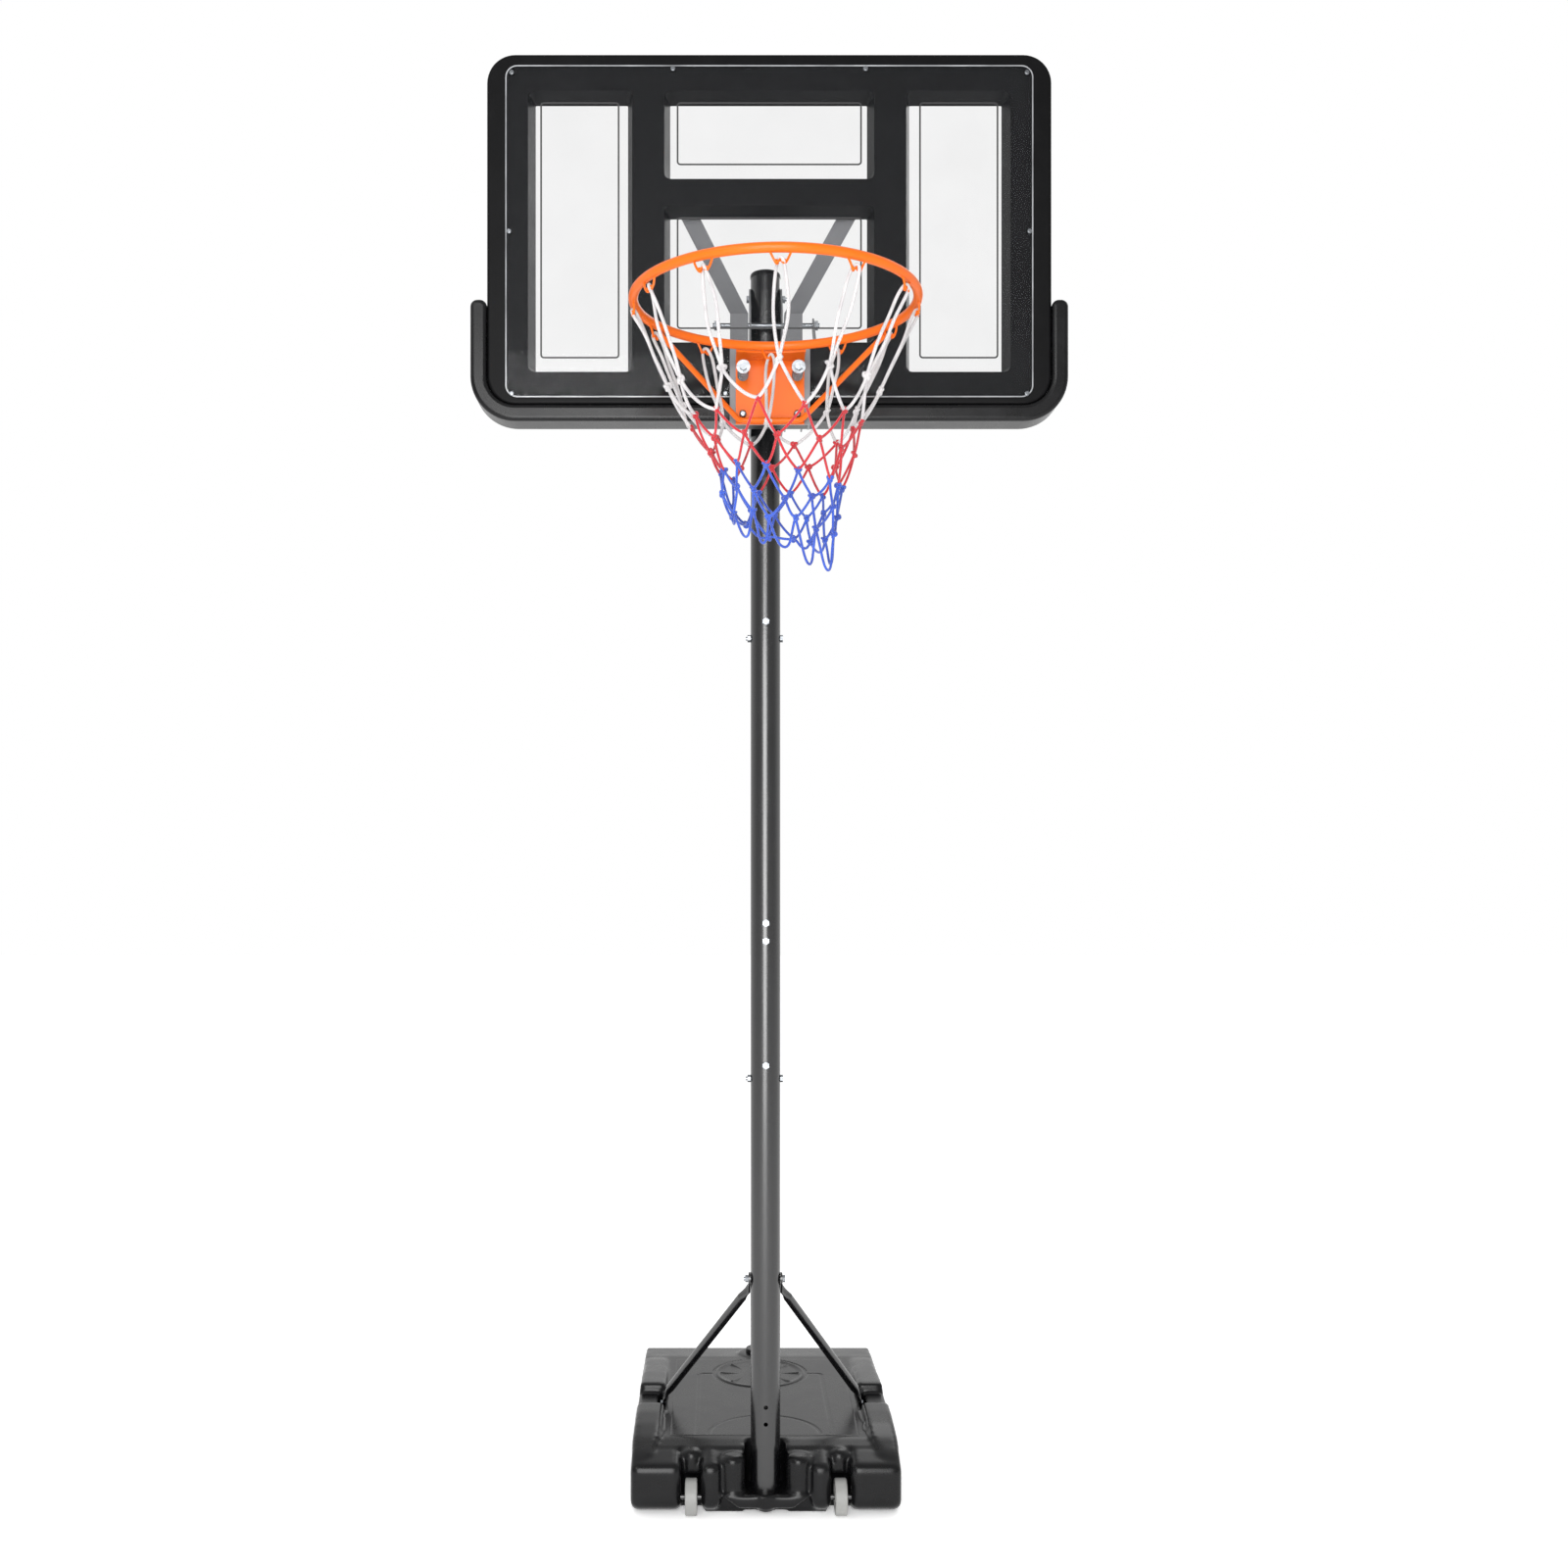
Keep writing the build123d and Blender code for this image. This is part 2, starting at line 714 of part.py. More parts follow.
# ---- board ----
# each window: middle x, width, low edge, high edge, at the frame's front
windows = [
    (-side_window_x, side_window_width, side_window_low, window_high),
    (side_window_x, side_window_width, side_window_low, window_high),
    (0, middle_window_width, top_window_low, window_high),
    (0, middle_window_width, centre_window_low, centre_window_high),
]
panel_seat = panel_thickness + fit_gap
window_depth = frame_depth - panel_seat
draft_angle = degrees(atan2(window_draft, window_depth))
mount_bolt_places = [
    (side * mount_bolt_x, height) for side in side_sign.values() for height in mount_bolt_heights
]
screw_places = [
    (side * x, z)
    for side in side_sign.values()
    for x, z in (
        (panel_width / 2 - screw_corner_inset, panel_high - screw_corner_drop),
        (screw_top_x, panel_high - screw_inset),
        (panel_width / 2 - screw_inset, (panel_low + panel_high) / 2),
        (screw_bottom_x, panel_low + screw_inset),
        (panel_width / 2 - screw_corner_inset, panel_low + screw_inset),
    )
]
arm_tab_middle = (arm_tab_low + arm_tab_high) / 2
arm_screw_places = [(side * arm_board_x, arm_tab_middle) for side in side_sign.values()]
stay_tab_x = stay_x + stay_tab_width / 2
stay_screw_places = [(side * stay_tab_x, stay_foot_height) for side in side_sign.values()]


def rounded_window(width, low, high, radius):
    """A rounded rectangle between two heights, for the sketch that is open."""
    with Locations((0, (low + high) / 2)):
        RectangleRounded(width, high - low, radius)


with BuildPart() as board_frame:
    with BuildSketch(board_plane):
        rounded_window(frame_width, frame_low, frame_high, frame_corner)
    extrude(amount=-frame_depth)
    fillet(board_frame.faces().sort_by(Axis.Y)[0].edges(), frame_edge_round)
    fillet(board_frame.faces().sort_by(Axis.Y)[-1].edges(), frame_edge_round)
    # shallow seat that takes the clear panel flush
    with BuildSketch(board_plane):
        rounded_window(
            panel_width + 2 * fit_gap,
            panel_low - fit_gap,
            panel_high + fit_gap,
            panel_corner + fit_gap,
        )
    extrude(amount=-panel_seat, mode=Mode.SUBTRACT)
    # closed hollow of the twin-wall moulding
    with BuildSketch(board_plane.offset(-panel_seat - frame_wall)):
        rounded_window(
            frame_width - 2 * frame_wall,
            frame_low + frame_wall,
            frame_high - frame_wall,
            frame_corner - frame_wall,
        )
        for x, width, low, high in windows:
            with Locations((x, (low + high) / 2)):
                RectangleRounded(
                    width + 2 * frame_wall,
                    high - low + 2 * frame_wall,
                    window_corner + frame_wall,
                    mode=Mode.SUBTRACT,
                )
    extrude(amount=-(window_depth - 2 * frame_wall), mode=Mode.SUBTRACT)
    # the four windows, narrowing towards the rear
    for x, width, low, high in windows:
        with BuildSketch(board_plane.offset(-panel_seat)):
            with Locations((x, (low + high) / 2)):
                RectangleRounded(width, high - low, window_corner)
        extrude(amount=-window_depth, taper=draft_angle, mode=Mode.SUBTRACT)
    with BuildSketch(board_plane):
        with Locations(*mount_bolt_places):
            Circle(bolt_hole)
    extrude(amount=-frame_depth, mode=Mode.SUBTRACT)
    with BuildSketch(board_plane):
        with Locations(*screw_places):
            Circle(screw_radius + thread_gap)
    extrude(amount=-panel_seat - frame_wall, mode=Mode.SUBTRACT)
    with BuildSketch(board_plane.offset(-frame_depth)):
        with Locations(*arm_screw_places, *stay_screw_places):
            Circle(bolt_radius + thread_gap)
    extrude(amount=frame_wall, mode=Mode.SUBTRACT)
board_frame.part.label = "board_frame"
export_step(board_frame.part, "parts/board_frame.step")

with BuildPart() as clear_panel:
    with BuildSketch(board_plane):
        rounded_window(panel_width, panel_low, panel_high, panel_corner)
        with Locations(*screw_places):
            Circle(screw_radius + hole_gap, mode=Mode.SUBTRACT)
        with Locations(*mount_bolt_places):
            Circle(bolt_hole, mode=Mode.SUBTRACT)
    extrude(amount=-panel_thickness)
clear_panel.part.label = "clear_panel"
export_step(clear_panel.part, "parts/clear_panel.step")

with BuildPart() as panel_screws:
    with Locations(*[facing(x, frame_front, z, (0, 1, 0)) for x, z in screw_places]):
        add(
            round_screw(
                screw_radius, panel_seat + frame_wall - 1, screw_head_radius, screw_head_height
            )
        )
panel_screws.part.label = "panel_screws"
export_step(panel_screws.part, "parts/panel_screws.step")


def bumper_outline(inset, front):
    """The U round the lower edge of the frame, shrunk by an inset on every side."""
    outer_x = frame_width / 2 + bumper_band - inset
    outer_z = frame_low - bumper_band + inset
    inner_x = frame_width / 2 + fit_gap + inset
    inner_z = frame_low - fit_gap - inset
    tip_z = frame_low + bumper_rise - inset
    with BuildSketch(Plane.XZ.offset(-front), mode=Mode.PRIVATE) as outline:
        with BuildLine():
            Polyline(
                (-outer_x, tip_z),
                (-outer_x, outer_z),
                (outer_x, outer_z),
                (outer_x, tip_z),
                (inner_x, tip_z),
                (inner_x, inner_z),
                (-inner_x, inner_z),
                (-inner_x, tip_z),
                close=True,
            )
        make_face()
        for height, radius in (
            (tip_z, bumper_tip_round - inset),
            (inner_z, frame_corner + fit_gap + inset),
            (outer_z, frame_corner + bumper_band - inset),
        ):
            fillet(
                outline.vertices().filter_by_position(Axis.Y, height - fit_gap, height + fit_gap),
                radius,
            )
    return outline.sketch


with BuildPart() as board_bumper:
    extrude(bumper_outline(0, bumper_front), amount=-bumper_depth)
    for end in (0, -1):
        outer_edges = board_bumper.faces().sort_by(Axis.Y)[end].outer_wire().edges()
        fillet(outer_edges, bumper_edge_round)
    extrude(
        bumper_outline(bumper_skin, bumper_front + bumper_skin),
        amount=-(bumper_depth - 2 * bumper_skin),
        mode=Mode.SUBTRACT,
    )
board_bumper.part.label = "board_bumper"
export_step(board_bumper.part, "parts/board_bumper.step")

# ---- mount between rim and board ----
rim_bolt_places = [
    (side * rim_bolt_x, height)
    for side in side_sign.values()
    for height in (lower_bolt_height, spring_bolt_height)
]
mount_bolt_seat = bumper_front - fit_gap - mount_thickness
with BuildPart() as rim_mount:
    web_flange = (mount_half_width - mount_thickness, mount_half_width)
    wall_box((-mount_half_width, mount_half_width), (web_front, web_rear), (plate_low, mount_high))
    mirrored_boxes(web_flange, (web_rear, bumper_front - fit_gap), (plate_low, mount_high))
    wall_box(
        (-mount_half_width, mount_half_width),
        (mount_bolt_seat, frame_front),
        (mount_rear_low, mount_high),
    )
    with BuildSketch(Plane.XZ.offset(-web_rear)):
        with Locations(*rim_bolt_places):
            Circle(bolt_hole)
    extrude(amount=mount_thickness, mode=Mode.SUBTRACT)
    with BuildSketch(board_plane):
        with Locations(*mount_bolt_places):
            Circle(bolt_hole)
    extrude(amount=frame_front - mount_bolt_seat, mode=Mode.SUBTRACT)
rim_mount.part.label = "rim_mount"
export_step(rim_mount.part, "parts/rim_mount.step")

mount_bolt_grip = frame_rear + bar_thickness - mount_bolt_seat
mount_seats = [facing(x, mount_bolt_seat, z, (0, 1, 0)) for x, z in mount_bolt_places]
with BuildPart() as rim_mount_bolts:
    with Locations(*mount_seats):
        add(
            hex_bolt(
                bolt_radius,
                mount_bolt_grip + nut_height + bolt_tail,
                bolt_head_width,
                bolt_head_height,
            )
        )
rim_mount_bolts.part.label = "rim_mount_bolts"
export_step(rim_mount_bolts.part, "parts/rim_mount_bolts.step")

with BuildPart() as rim_mount_nuts:
    with Locations(*[seat.offset(mount_bolt_grip) for seat in mount_seats]):
        add(hex_nut(bolt_radius, bolt_head_width, nut_height))
rim_mount_nuts.part.label = "rim_mount_nuts"
export_step(rim_mount_nuts.part, "parts/rim_mount_nuts.step")

with BuildPart() as rear_plate:
    with BuildSketch(board_plane.offset(-frame_depth)):
        rounded_window(2 * rear_plate_half_width, rear_plate_low, rear_plate_high, window_corner)
        with Locations(*mount_bolt_places):
            Circle(bolt_hole, mode=Mode.SUBTRACT)
    extrude(amount=-bar_thickness)
rear_plate.part.label = "rear_plate"
export_step(rear_plate.part, "parts/rear_plate.step")

# ---- brackets between board and pole ----
gusset_front = frame_rear + bar_thickness
for name, side in side_sign.items():
    # side plate: an ear at the top bolt, and a gusset that reaches the rear plate
    with BuildPart() as pole_bracket:
        with BuildSketch(Plane.YZ.offset(side * (pole_radius + fit_gap))):
            with BuildLine():
                Polyline(
                    (bracket_rear, bracket_low),
                    (gusset_front, bracket_low),
                    (gusset_front, bracket_gusset_high),
                    (bracket_front, bracket_waist),
                    (bracket_front, bracket_shoulder),
                    (-bracket_ear_radius, bracket_bolt_heights[1]),
                    (bracket_ear_radius, bracket_bolt_heights[1]),
                    (bracket_rear, bracket_waist),
                    close=True,
                )
            make_face()
            with Locations((0, bracket_bolt_heights[1])):
                Circle(bracket_ear_radius)
            with Locations(*[(0, height) for height in bracket_bolt_heights]):
                Circle(bolt_hole, mode=Mode.SUBTRACT)
            with Locations((tie_bolt_y, tie_bolt_height)):
                Circle(tie_bolt_radius + hole_gap, mode=Mode.SUBTRACT)
        extrude(amount=side * bar_thickness)
    pole_bracket.part.label = f"pole_bracket_{name}"
    export_step(pole_bracket.part, f"parts/pole_bracket_{name}.step")

    # arm: a channel beside the pole whose face runs on up to the board as a flat bar
    face_rear = arm_front + bar_thickness
    board_seat = frame_rear + bar_thickness
    rise = Vector(0, board_seat - face_rear, arm_tab_low - arm_bend)
    bar_plane = Plane(
        origin=(0, face_rear, arm_bend), x_dir=(1, 0, 0), z_dir=Vector(1, 0, 0).cross(rise)
    )
    half_width = arm_width / 2
    with BuildPart() as board_arm:
        wall_box(
            (side * (arm_x - half_width), side * (arm_x + half_width)),
            (arm_front, face_rear),
            (arm_low, arm_bend),
        )
        for edge in (-half_width, half_width - bar_thickness):
            wall_box(
                (side * (arm_x + edge), side * (arm_x + edge + bar_thickness)),
                (face_rear, face_rear + arm_return - bar_thickness),
                (arm_low, arm_bend),
            )
        with BuildSketch(bar_plane):
            with BuildLine():
                Polyline(
                    (side * (arm_x - half_width), 0),
                    (side * (arm_x + half_width), 0),
                    (side * (arm_board_x + half_width), rise.length),
                    (side * (arm_board_x - half_width), rise.length),
                    close=True,
                )
            make_face()
        extrude(amount=bar_thickness)
        wall_box(
            (side * (arm_board_x - half_width), side * (arm_board_x + half_width)),
            (frame_rear, board_seat),
            (arm_tab_low - bar_thickness, arm_tab_high),
        )
        with BuildSketch(Plane.XZ):
            with Locations(*arm_screw_places):
                Circle(bolt_hole)
        extrude(amount=-frame_rear, mode=Mode.SUBTRACT)
        with BuildSketch(Plane.YZ):
            with Locations((tie_bolt_y, tie_bolt_height)):
                Circle(tie_bolt_radius + hole_gap)
        extrude(amount=side * (arm_x + arm_width), mode=Mode.SUBTRACT)
    board_arm.part.label = f"board_arm_{name}"
    export_step(board_arm.part, f"parts/board_arm_{name}.step")

    # stay: a flat bar from the end of the tie bolt forward and down to the board
    stay_run = Vector(0, board_seat - tie_bolt_y, stay_foot_height - tie_bolt_height)
    with BuildPart() as board_stay:
        stay_plane = Plane(
            origin=(side * stay_x, tie_bolt_y, tie_bolt_height),
            x_dir=stay_run.normalized(),
            z_dir=(1, 0, 0),
        )
        with BuildSketch(stay_plane):
            Circle(stay_width / 2)
            with Locations((stay_run.length / 2, 0)):
                Rectangle(stay_run.length, stay_width)
            Circle(tie_bolt_radius + hole_gap, mode=Mode.SUBTRACT)
        extrude(amount=bar_thickness / 2, both=True)
        split(bisect_by=Plane.XZ.offset(-frame_rear), keep=Keep.BOTTOM)
        wall_box(
            (side * (stay_x - bar_thickness / 2), side * (stay_x + stay_tab_width)),
            (frame_rear, board_seat),
            (stay_foot_height - stay_width / 2, stay_foot_height + stay_width / 2),
        )
        with BuildSketch(Plane.XZ):
            with Locations(*stay_screw_places):
                Circle(bolt_hole)
        extrude(amount=-frame_rear, mode=Mode.SUBTRACT)
    board_stay.part.label = f"board_stay_{name}"
    export_step(board_stay.part, f"parts/board_stay_{name}.step")

tab_seats = [
    facing(x, frame_rear + bar_thickness, z, (0, -1, 0))
    for x, z in [*arm_screw_places, *stay_screw_places]
]
with BuildPart() as arm_screws:
    with Locations(*tab_seats):
        add(
            hex_bolt(
                bolt_radius, bar_thickness + frame_wall - 1, bolt_head_width, bolt_head_height
            )
        )
arm_screws.part.label = "arm_screws"
export_step(arm_screws.part, "parts/arm_screws.step")

tie_reach = stay_x + bar_thickness / 2 + fit_gap
with BuildPart() as tie_rod:
    with BuildSketch(Plane.YZ):
        with Locations((tie_bolt_y, tie_bolt_height)):
            Circle(tie_bolt_radius)
    extrude(amount=tie_reach + tie_nut_height + bolt_tail, both=True)
tie_rod.part.label = "tie_rod"
export_step(tie_rod.part, "parts/tie_rod.step")

with BuildPart() as tie_nuts:
    with Locations(
        *[
            facing(side * tie_reach, tie_bolt_y, tie_bolt_height, (side, 0, 0))
            for side in side_sign.values()
        ]
    ):
        add(hex_nut(tie_bolt_radius, tie_nut_width, tie_nut_height))
tie_nuts.part.label = "tie_nuts"
export_step(tie_nuts.part, "parts/tie_nuts.step")

bracket_grip = 2 * (pole_radius + bar_thickness + fit_gap)
bracket_seats = [
    facing(-bracket_grip / 2, 0, height, (1, 0, 0)) for height in bracket_bolt_heights
]
with BuildPart() as bracket_bolts:
    with Locations(*bracket_seats):
        add(
            hex_bolt(
                bolt_radius,
                bracket_grip + nut_height + bolt_tail,
                bolt_head_width,
                bolt_head_height,
            )
        )
bracket_bolts.part.label = "bracket_bolts"
export_step(bracket_bolts.part, "parts/bracket_bolts.step")

with BuildPart() as bracket_nuts:
    with Locations(*[seat.offset(bracket_grip) for seat in bracket_seats]):
        add(hex_nut(bolt_radius, bolt_head_width, nut_height))
bracket_nuts.part.label = "bracket_nuts"
export_step(bracket_nuts.part, "parts/bracket_nuts.step")

# ---- rim ----
ring_bottom = ring_height - ring_tube_radius
with BuildPart() as rim_ring:
    with BuildSketch(Plane.XZ.offset(-ring_centre_y)):
        with Locations((ring_radius, ring_height)):
            Circle(ring_tube_radius)
    revolve(axis=Axis((0, ring_centre_y, 0), (0, 0, 1)))
rim_ring.part.label = "rim_ring"
export_step(rim_ring.part, "parts/rim_ring.step")

# the shelf's front edge follows the ring, just behind the middle of its tube
shelf_edge_radius = ring_radius + ring_tube_radius * 0.45
shelf_high = ring_height - ring_tube_radius * cos(asin(0.45)) - fit_gap
with BuildPart() as rim_plate:
    wall_box((-plate_half_width, plate_half_width), (plate_front, plate_rear), (plate_low, shelf_high))
    with BuildSketch(Plane.XY.offset(shelf_high)):
        with Locations((0, plate_rear - flange_length)):
            Rectangle(2 * plate_half_width, 2 * flange_length)
        with Locations((0, ring_centre_y)):
            Circle(shelf_edge_radius, mode=Mode.SUBTRACT)
    extrude(amount=-plate_thickness)
    with BuildSketch(Plane.XZ.offset(-plate_rear)):
        with Locations(*rim_bolt_places):
            Circle(plate_hole_radius)
    extrude(amount=plate_thickness, mode=Mode.SUBTRACT)
rim_plate.part.label = "rim_plate"
export_step(rim_plate.part, "parts/rim_plate.step")

# one bent rod: from under the ring, along the plate's foot, and up to the ring again
brace_y = plate_front - fit_gap - brace_radius
brace_end_x = ring_radius * sin(radians(brace_angle))
brace_end_y = ring_centre_y + ring_radius * cos(radians(brace_angle))
brace_end_z = ring_bottom - brace_radius - fit_gap
with BuildPart() as rim_brace:
    with BuildLine() as brace_path:
        FilletPolyline(
            (-brace_end_x, brace_end_y, brace_end_z),
            (-brace_half_width, brace_y, brace_height),
            (brace_half_width, brace_y, brace_height),
            (brace_end_x, brace_end_y, brace_end_z),
            radius=brace_bend,
        )
    with BuildSketch(Plane(origin=brace_path.line @ 0, z_dir=brace_path.line % 0)):
        Circle(brace_radius)
    sweep()
rim_brace.part.label = "rim_brace"
export_step(rim_brace.part, "parts/rim_brace.step")


def net_hook():
    """A wire loop in the XZ plane that hangs from z = 0, for the net's cord."""
    with BuildPart() as hook:
        with BuildLine() as wire:
            FilletPolyline(
                (-hook_half_width, 0, 0),
                (-hook_foot_half_width, 0, -hook_drop),
                (hook_foot_half_width, 0, -hook_drop),
                (hook_half_width, 0, 0),
                radius=hook_bend,
            )
        with BuildSketch(Plane(origin=wire.line @ 0, z_dir=wire.line % 0)):
            Circle(hook_wire_radius)
        sweep()
    return hook.part


hook_top = ring_bottom - hook_wire_radius / 2
with BuildPart() as net_hooks:
    for index in range(hook_count):
        turn = radians(360 / hook_count * index)
        hook_plane = Plane(
            origin=(
                ring_radius * sin(turn),
                ring_centre_y - ring_radius * cos(turn),
                hook_top,
            ),
            x_dir=(cos(turn), sin(turn), 0),
            z_dir=(0, 0, 1),
        )
        with Locations(hook_plane):
            add(net_hook())
net_hooks.part.label = "net_hooks"
export_step(net_hooks.part, "parts/net_hooks.step")

# the net as one thin skin, with a tongue up to each hook
net_top = hook_top - hook_drop - hook_wire_radius - fit_gap
net_stations = [
    (ring_radius, net_top),
    (net_waist_radius, net_top - net_waist_drop),
    (net_foot_radius, net_top - net_length),
]
with BuildPart() as net:
    with BuildSketch(Plane.XZ.offset(-ring_centre_y)):
        with BuildLine():
            inner = [(radius - net_thickness, height) for radius, height in net_stations]
            Polyline(*net_stations, *reversed(inner), close=True)
        make_face()
    revolve(axis=Axis((0, ring_centre_y, 0), (0, 0, 1)))
    gap_half_width = ring_radius * sin(radians(net_gap_angle / 2))
    for index in range(hook_count):
        turn = radians(360 / hook_count * (index + 0.5))
        gap_plane = Plane(
            origin=(0, ring_centre_y, net_top),
            x_dir=(cos(turn), sin(turn), 0),
            z_dir=(sin(turn), -cos(turn), 0),
        )
        with BuildSketch(gap_plane):
            with BuildLine():
                Polyline(
                    (-gap_half_width, 0),
                    (0, -net_gap_depth),
                    (gap_half_width, 0),
                    close=True,
                )
            make_face()
        extrude(amount=2 * ring_radius, mode=Mode.SUBTRACT)
net.part.label = "net"
export_step(net.part, "parts/net.step")

# ---- spring bolts ----
spring_middles = [(side * rim_bolt_x, spring_bolt_height) for side in side_sign.values()]
spring_seats = [facing(x, washer_face, z, (0, 1, 0)) for x, z in spring_middles]
lower_seats = [
    facing(side * rim_bolt_x, plate_front - lower_bolt_play, lower_bolt_height, (0, 1, 0))
    for side in side_sign.values()
]
nut_seats = [
    facing(seat.origin.X, web_rear, seat.origin.Z, (0, 1, 0))
    for seat in [*spring_seats, *lower_seats]
]

spring_wire_gap = spring_wire_radius + fit_gap / 2
spring_rise = spring_length - 2 * spring_wire_gap
for (name, side), seat in zip(side_sign.items(), spring_seats):
    with BuildPart() as rim_spring:
        coil_start = seat.offset(spring_wire_gap).origin
        with BuildLine() as coil:
            Helix(
                spring_rise / spring_turns,
                spring_rise,
                spring_radius,
                center=coil_start,
                direction=(0, 1, 0),
            )
        with BuildSketch(Plane(origin=coil.line @ 0, z_dir=coil.line % 0)):
            Circle(spring_wire_radius)
        sweep(is_frenet=True)
    rim_spring.part.label = f"rim_spring_{name}"
    export_step(rim_spring.part, f"parts/rim_spring_{name}.step")

with BuildPart() as spring_washers:
    with Locations(*spring_seats):
        add(flat_washer(bolt_radius, washer_radius, washer_thickness))
spring_washers.part.label = "spring_washers"
export_step(spring_washers.part, "parts/spring_washers.step")

spring_bolt_length = web_rear + nut_height + bolt_tail - washer_face + washer_thickness
with BuildPart() as spring_bolts:
    with Locations(*[seat.offset(-washer_thickness) for seat in spring_seats]):
        add(hex_bolt(bolt_radius, spring_bolt_length, bolt_head_width, bolt_head_height))
spring_bolts.part.label = "spring_bolts"
export_step(spring_bolts.part, "parts/spring_bolts.step")

lower_bolt_length = web_rear + nut_height + bolt_tail - plate_front + lower_bolt_play
with BuildPart() as lower_rim_bolts:
    with Locations(*lower_seats):
        add(round_screw(bolt_radius, lower_bolt_length, plate_hole_radius, bolt_head_height))
lower_rim_bolts.part.label = "lower_rim_bolts"
export_step(lower_rim_bolts.part, "parts/lower_rim_bolts.step")

with BuildPart() as rim_nuts:
    with Locations(*nut_seats):
        add(hex_nut(bolt_radius, bolt_head_width, nut_height))
rim_nuts.part.label = "rim_nuts"
export_step(rim_nuts.part, "parts/rim_nuts.step")
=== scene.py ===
import json
import math
import random

import bmesh
import bpy
from mathutils import Matrix, Vector


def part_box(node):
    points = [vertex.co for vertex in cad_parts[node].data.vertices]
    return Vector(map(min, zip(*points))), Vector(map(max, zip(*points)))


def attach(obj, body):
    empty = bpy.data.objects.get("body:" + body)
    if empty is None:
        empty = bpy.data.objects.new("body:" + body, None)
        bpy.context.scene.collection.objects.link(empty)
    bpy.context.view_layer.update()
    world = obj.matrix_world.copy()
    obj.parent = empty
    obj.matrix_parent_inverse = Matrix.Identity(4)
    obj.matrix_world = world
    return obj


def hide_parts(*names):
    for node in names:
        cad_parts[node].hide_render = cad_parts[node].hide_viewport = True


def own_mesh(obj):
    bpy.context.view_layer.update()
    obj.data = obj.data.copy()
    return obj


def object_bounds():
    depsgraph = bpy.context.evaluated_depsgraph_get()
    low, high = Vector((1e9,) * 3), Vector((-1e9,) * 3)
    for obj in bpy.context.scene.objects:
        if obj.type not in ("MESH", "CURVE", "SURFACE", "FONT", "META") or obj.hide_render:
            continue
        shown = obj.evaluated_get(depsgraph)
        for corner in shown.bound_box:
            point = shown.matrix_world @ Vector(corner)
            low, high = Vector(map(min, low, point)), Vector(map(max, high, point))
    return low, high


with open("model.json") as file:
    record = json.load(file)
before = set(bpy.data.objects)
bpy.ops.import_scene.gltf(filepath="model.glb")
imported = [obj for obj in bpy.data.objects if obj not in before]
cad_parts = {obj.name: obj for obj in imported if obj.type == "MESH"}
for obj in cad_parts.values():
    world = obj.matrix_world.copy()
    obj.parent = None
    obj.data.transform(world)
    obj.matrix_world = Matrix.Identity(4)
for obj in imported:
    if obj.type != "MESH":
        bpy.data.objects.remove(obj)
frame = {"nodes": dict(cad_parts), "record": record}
cad_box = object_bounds()
nodes = frame["nodes"]
slot_of = {row["node"]: row["material_slot"] for row in frame["record"]["subparts"]}

MM = 0.001


# ---- small helpers ----
def linear(hex_colour):
    """An sRGB hex colour as the linear RGBA that a shader socket takes."""
    channels = [int(hex_colour[i : i + 2], 16) / 255 for i in (1, 3, 5)]
    return (*[c / 12.92 if c <= 0.04045 else ((c + 0.055) / 1.055) ** 2.4 for c in channels], 1.0)


def aim(obj, target):
    """Turns a light towards a point."""
    obj.rotation_euler = (Vector(target) - obj.location).to_track_quat("-Z", "Y").to_euler()


def per_mm(size):
    """The scale of a pattern on coordinates in metres whose features are this many millimetres."""
    return 1 / (size * MM)


# ---- camera ----
# It stands 3.3 m in front of the pole, level, below the rim, and looks along +Y.
# The lens is shifted so that the pole stays upright.
camera_data = bpy.data.cameras.new("camera")
camera_data.sensor_width = 36
camera_data.lens = 37.35
camera_data.shift_x = 0.0406
camera_data.shift_y = 0.051
camera = bpy.data.objects.new("camera", camera_data)
camera.location = (-0.0915, -3.30, 1.307)
camera.rotation_euler = (math.radians(90), 0, 0)
bpy.context.scene.collection.objects.link(camera)
bpy.context.scene.camera = camera


# ---- materials ----
def add_node(material, kind, settings=(), links=()):
    """Adds a node to a material, sets its properties and sockets, and links its inputs."""
    node = material.node_tree.nodes.new(kind)
    for name, value in dict(settings).items():
        if isinstance(name, int) or name in node.inputs:
            node.inputs[name].default_value = value
        else:
            setattr(node, name, value)
    for name, source in dict(links).items():
        material.node_tree.links.new(source, node.inputs[name])
    return node


def new_material(name, settings):
    """An empty principled material with its constants set, and its object coordinates."""
    material = bpy.data.materials.new(name)
    material.use_nodes = True
    shader = material.node_tree.nodes["Principled BSDF"]
    for socket, value in settings.items():
        shader.inputs[socket].default_value = value
    place = add_node(material, "ShaderNodeTexCoord").outputs["Object"]
    return material, shader, place


def join(material, shader, links):
    """Links finished patterns to the shader."""
    for socket, source in links.items():
        material.node_tree.links.new(source, shader.inputs[socket])


def noise(material, place, size, detail=2.0, roughness=0.5):
    """A soft random pattern whose features are this many millimetres."""
    return add_node(material, "ShaderNodeTexNoise",
                    {"Scale": per_mm(size), "Detail": detail, "Roughness": roughness},
                    {"Vector": place}).outputs["Fac"]


def remap(material, value, settings):
    """A value stretched from one range to another."""
    return add_node(material, "ShaderNodeMapRange", settings, {"Value": value}).outputs["Result"]


def blend(material, share, hex_low, hex_high):
    """A colour that goes from the first to the second with a share from 0 to 1."""
    return add_node(material, "ShaderNodeMix",
                    {"data_type": "RGBA", 6: linear(hex_low), 7: linear(hex_high)},
                    {0: share}).outputs[2]


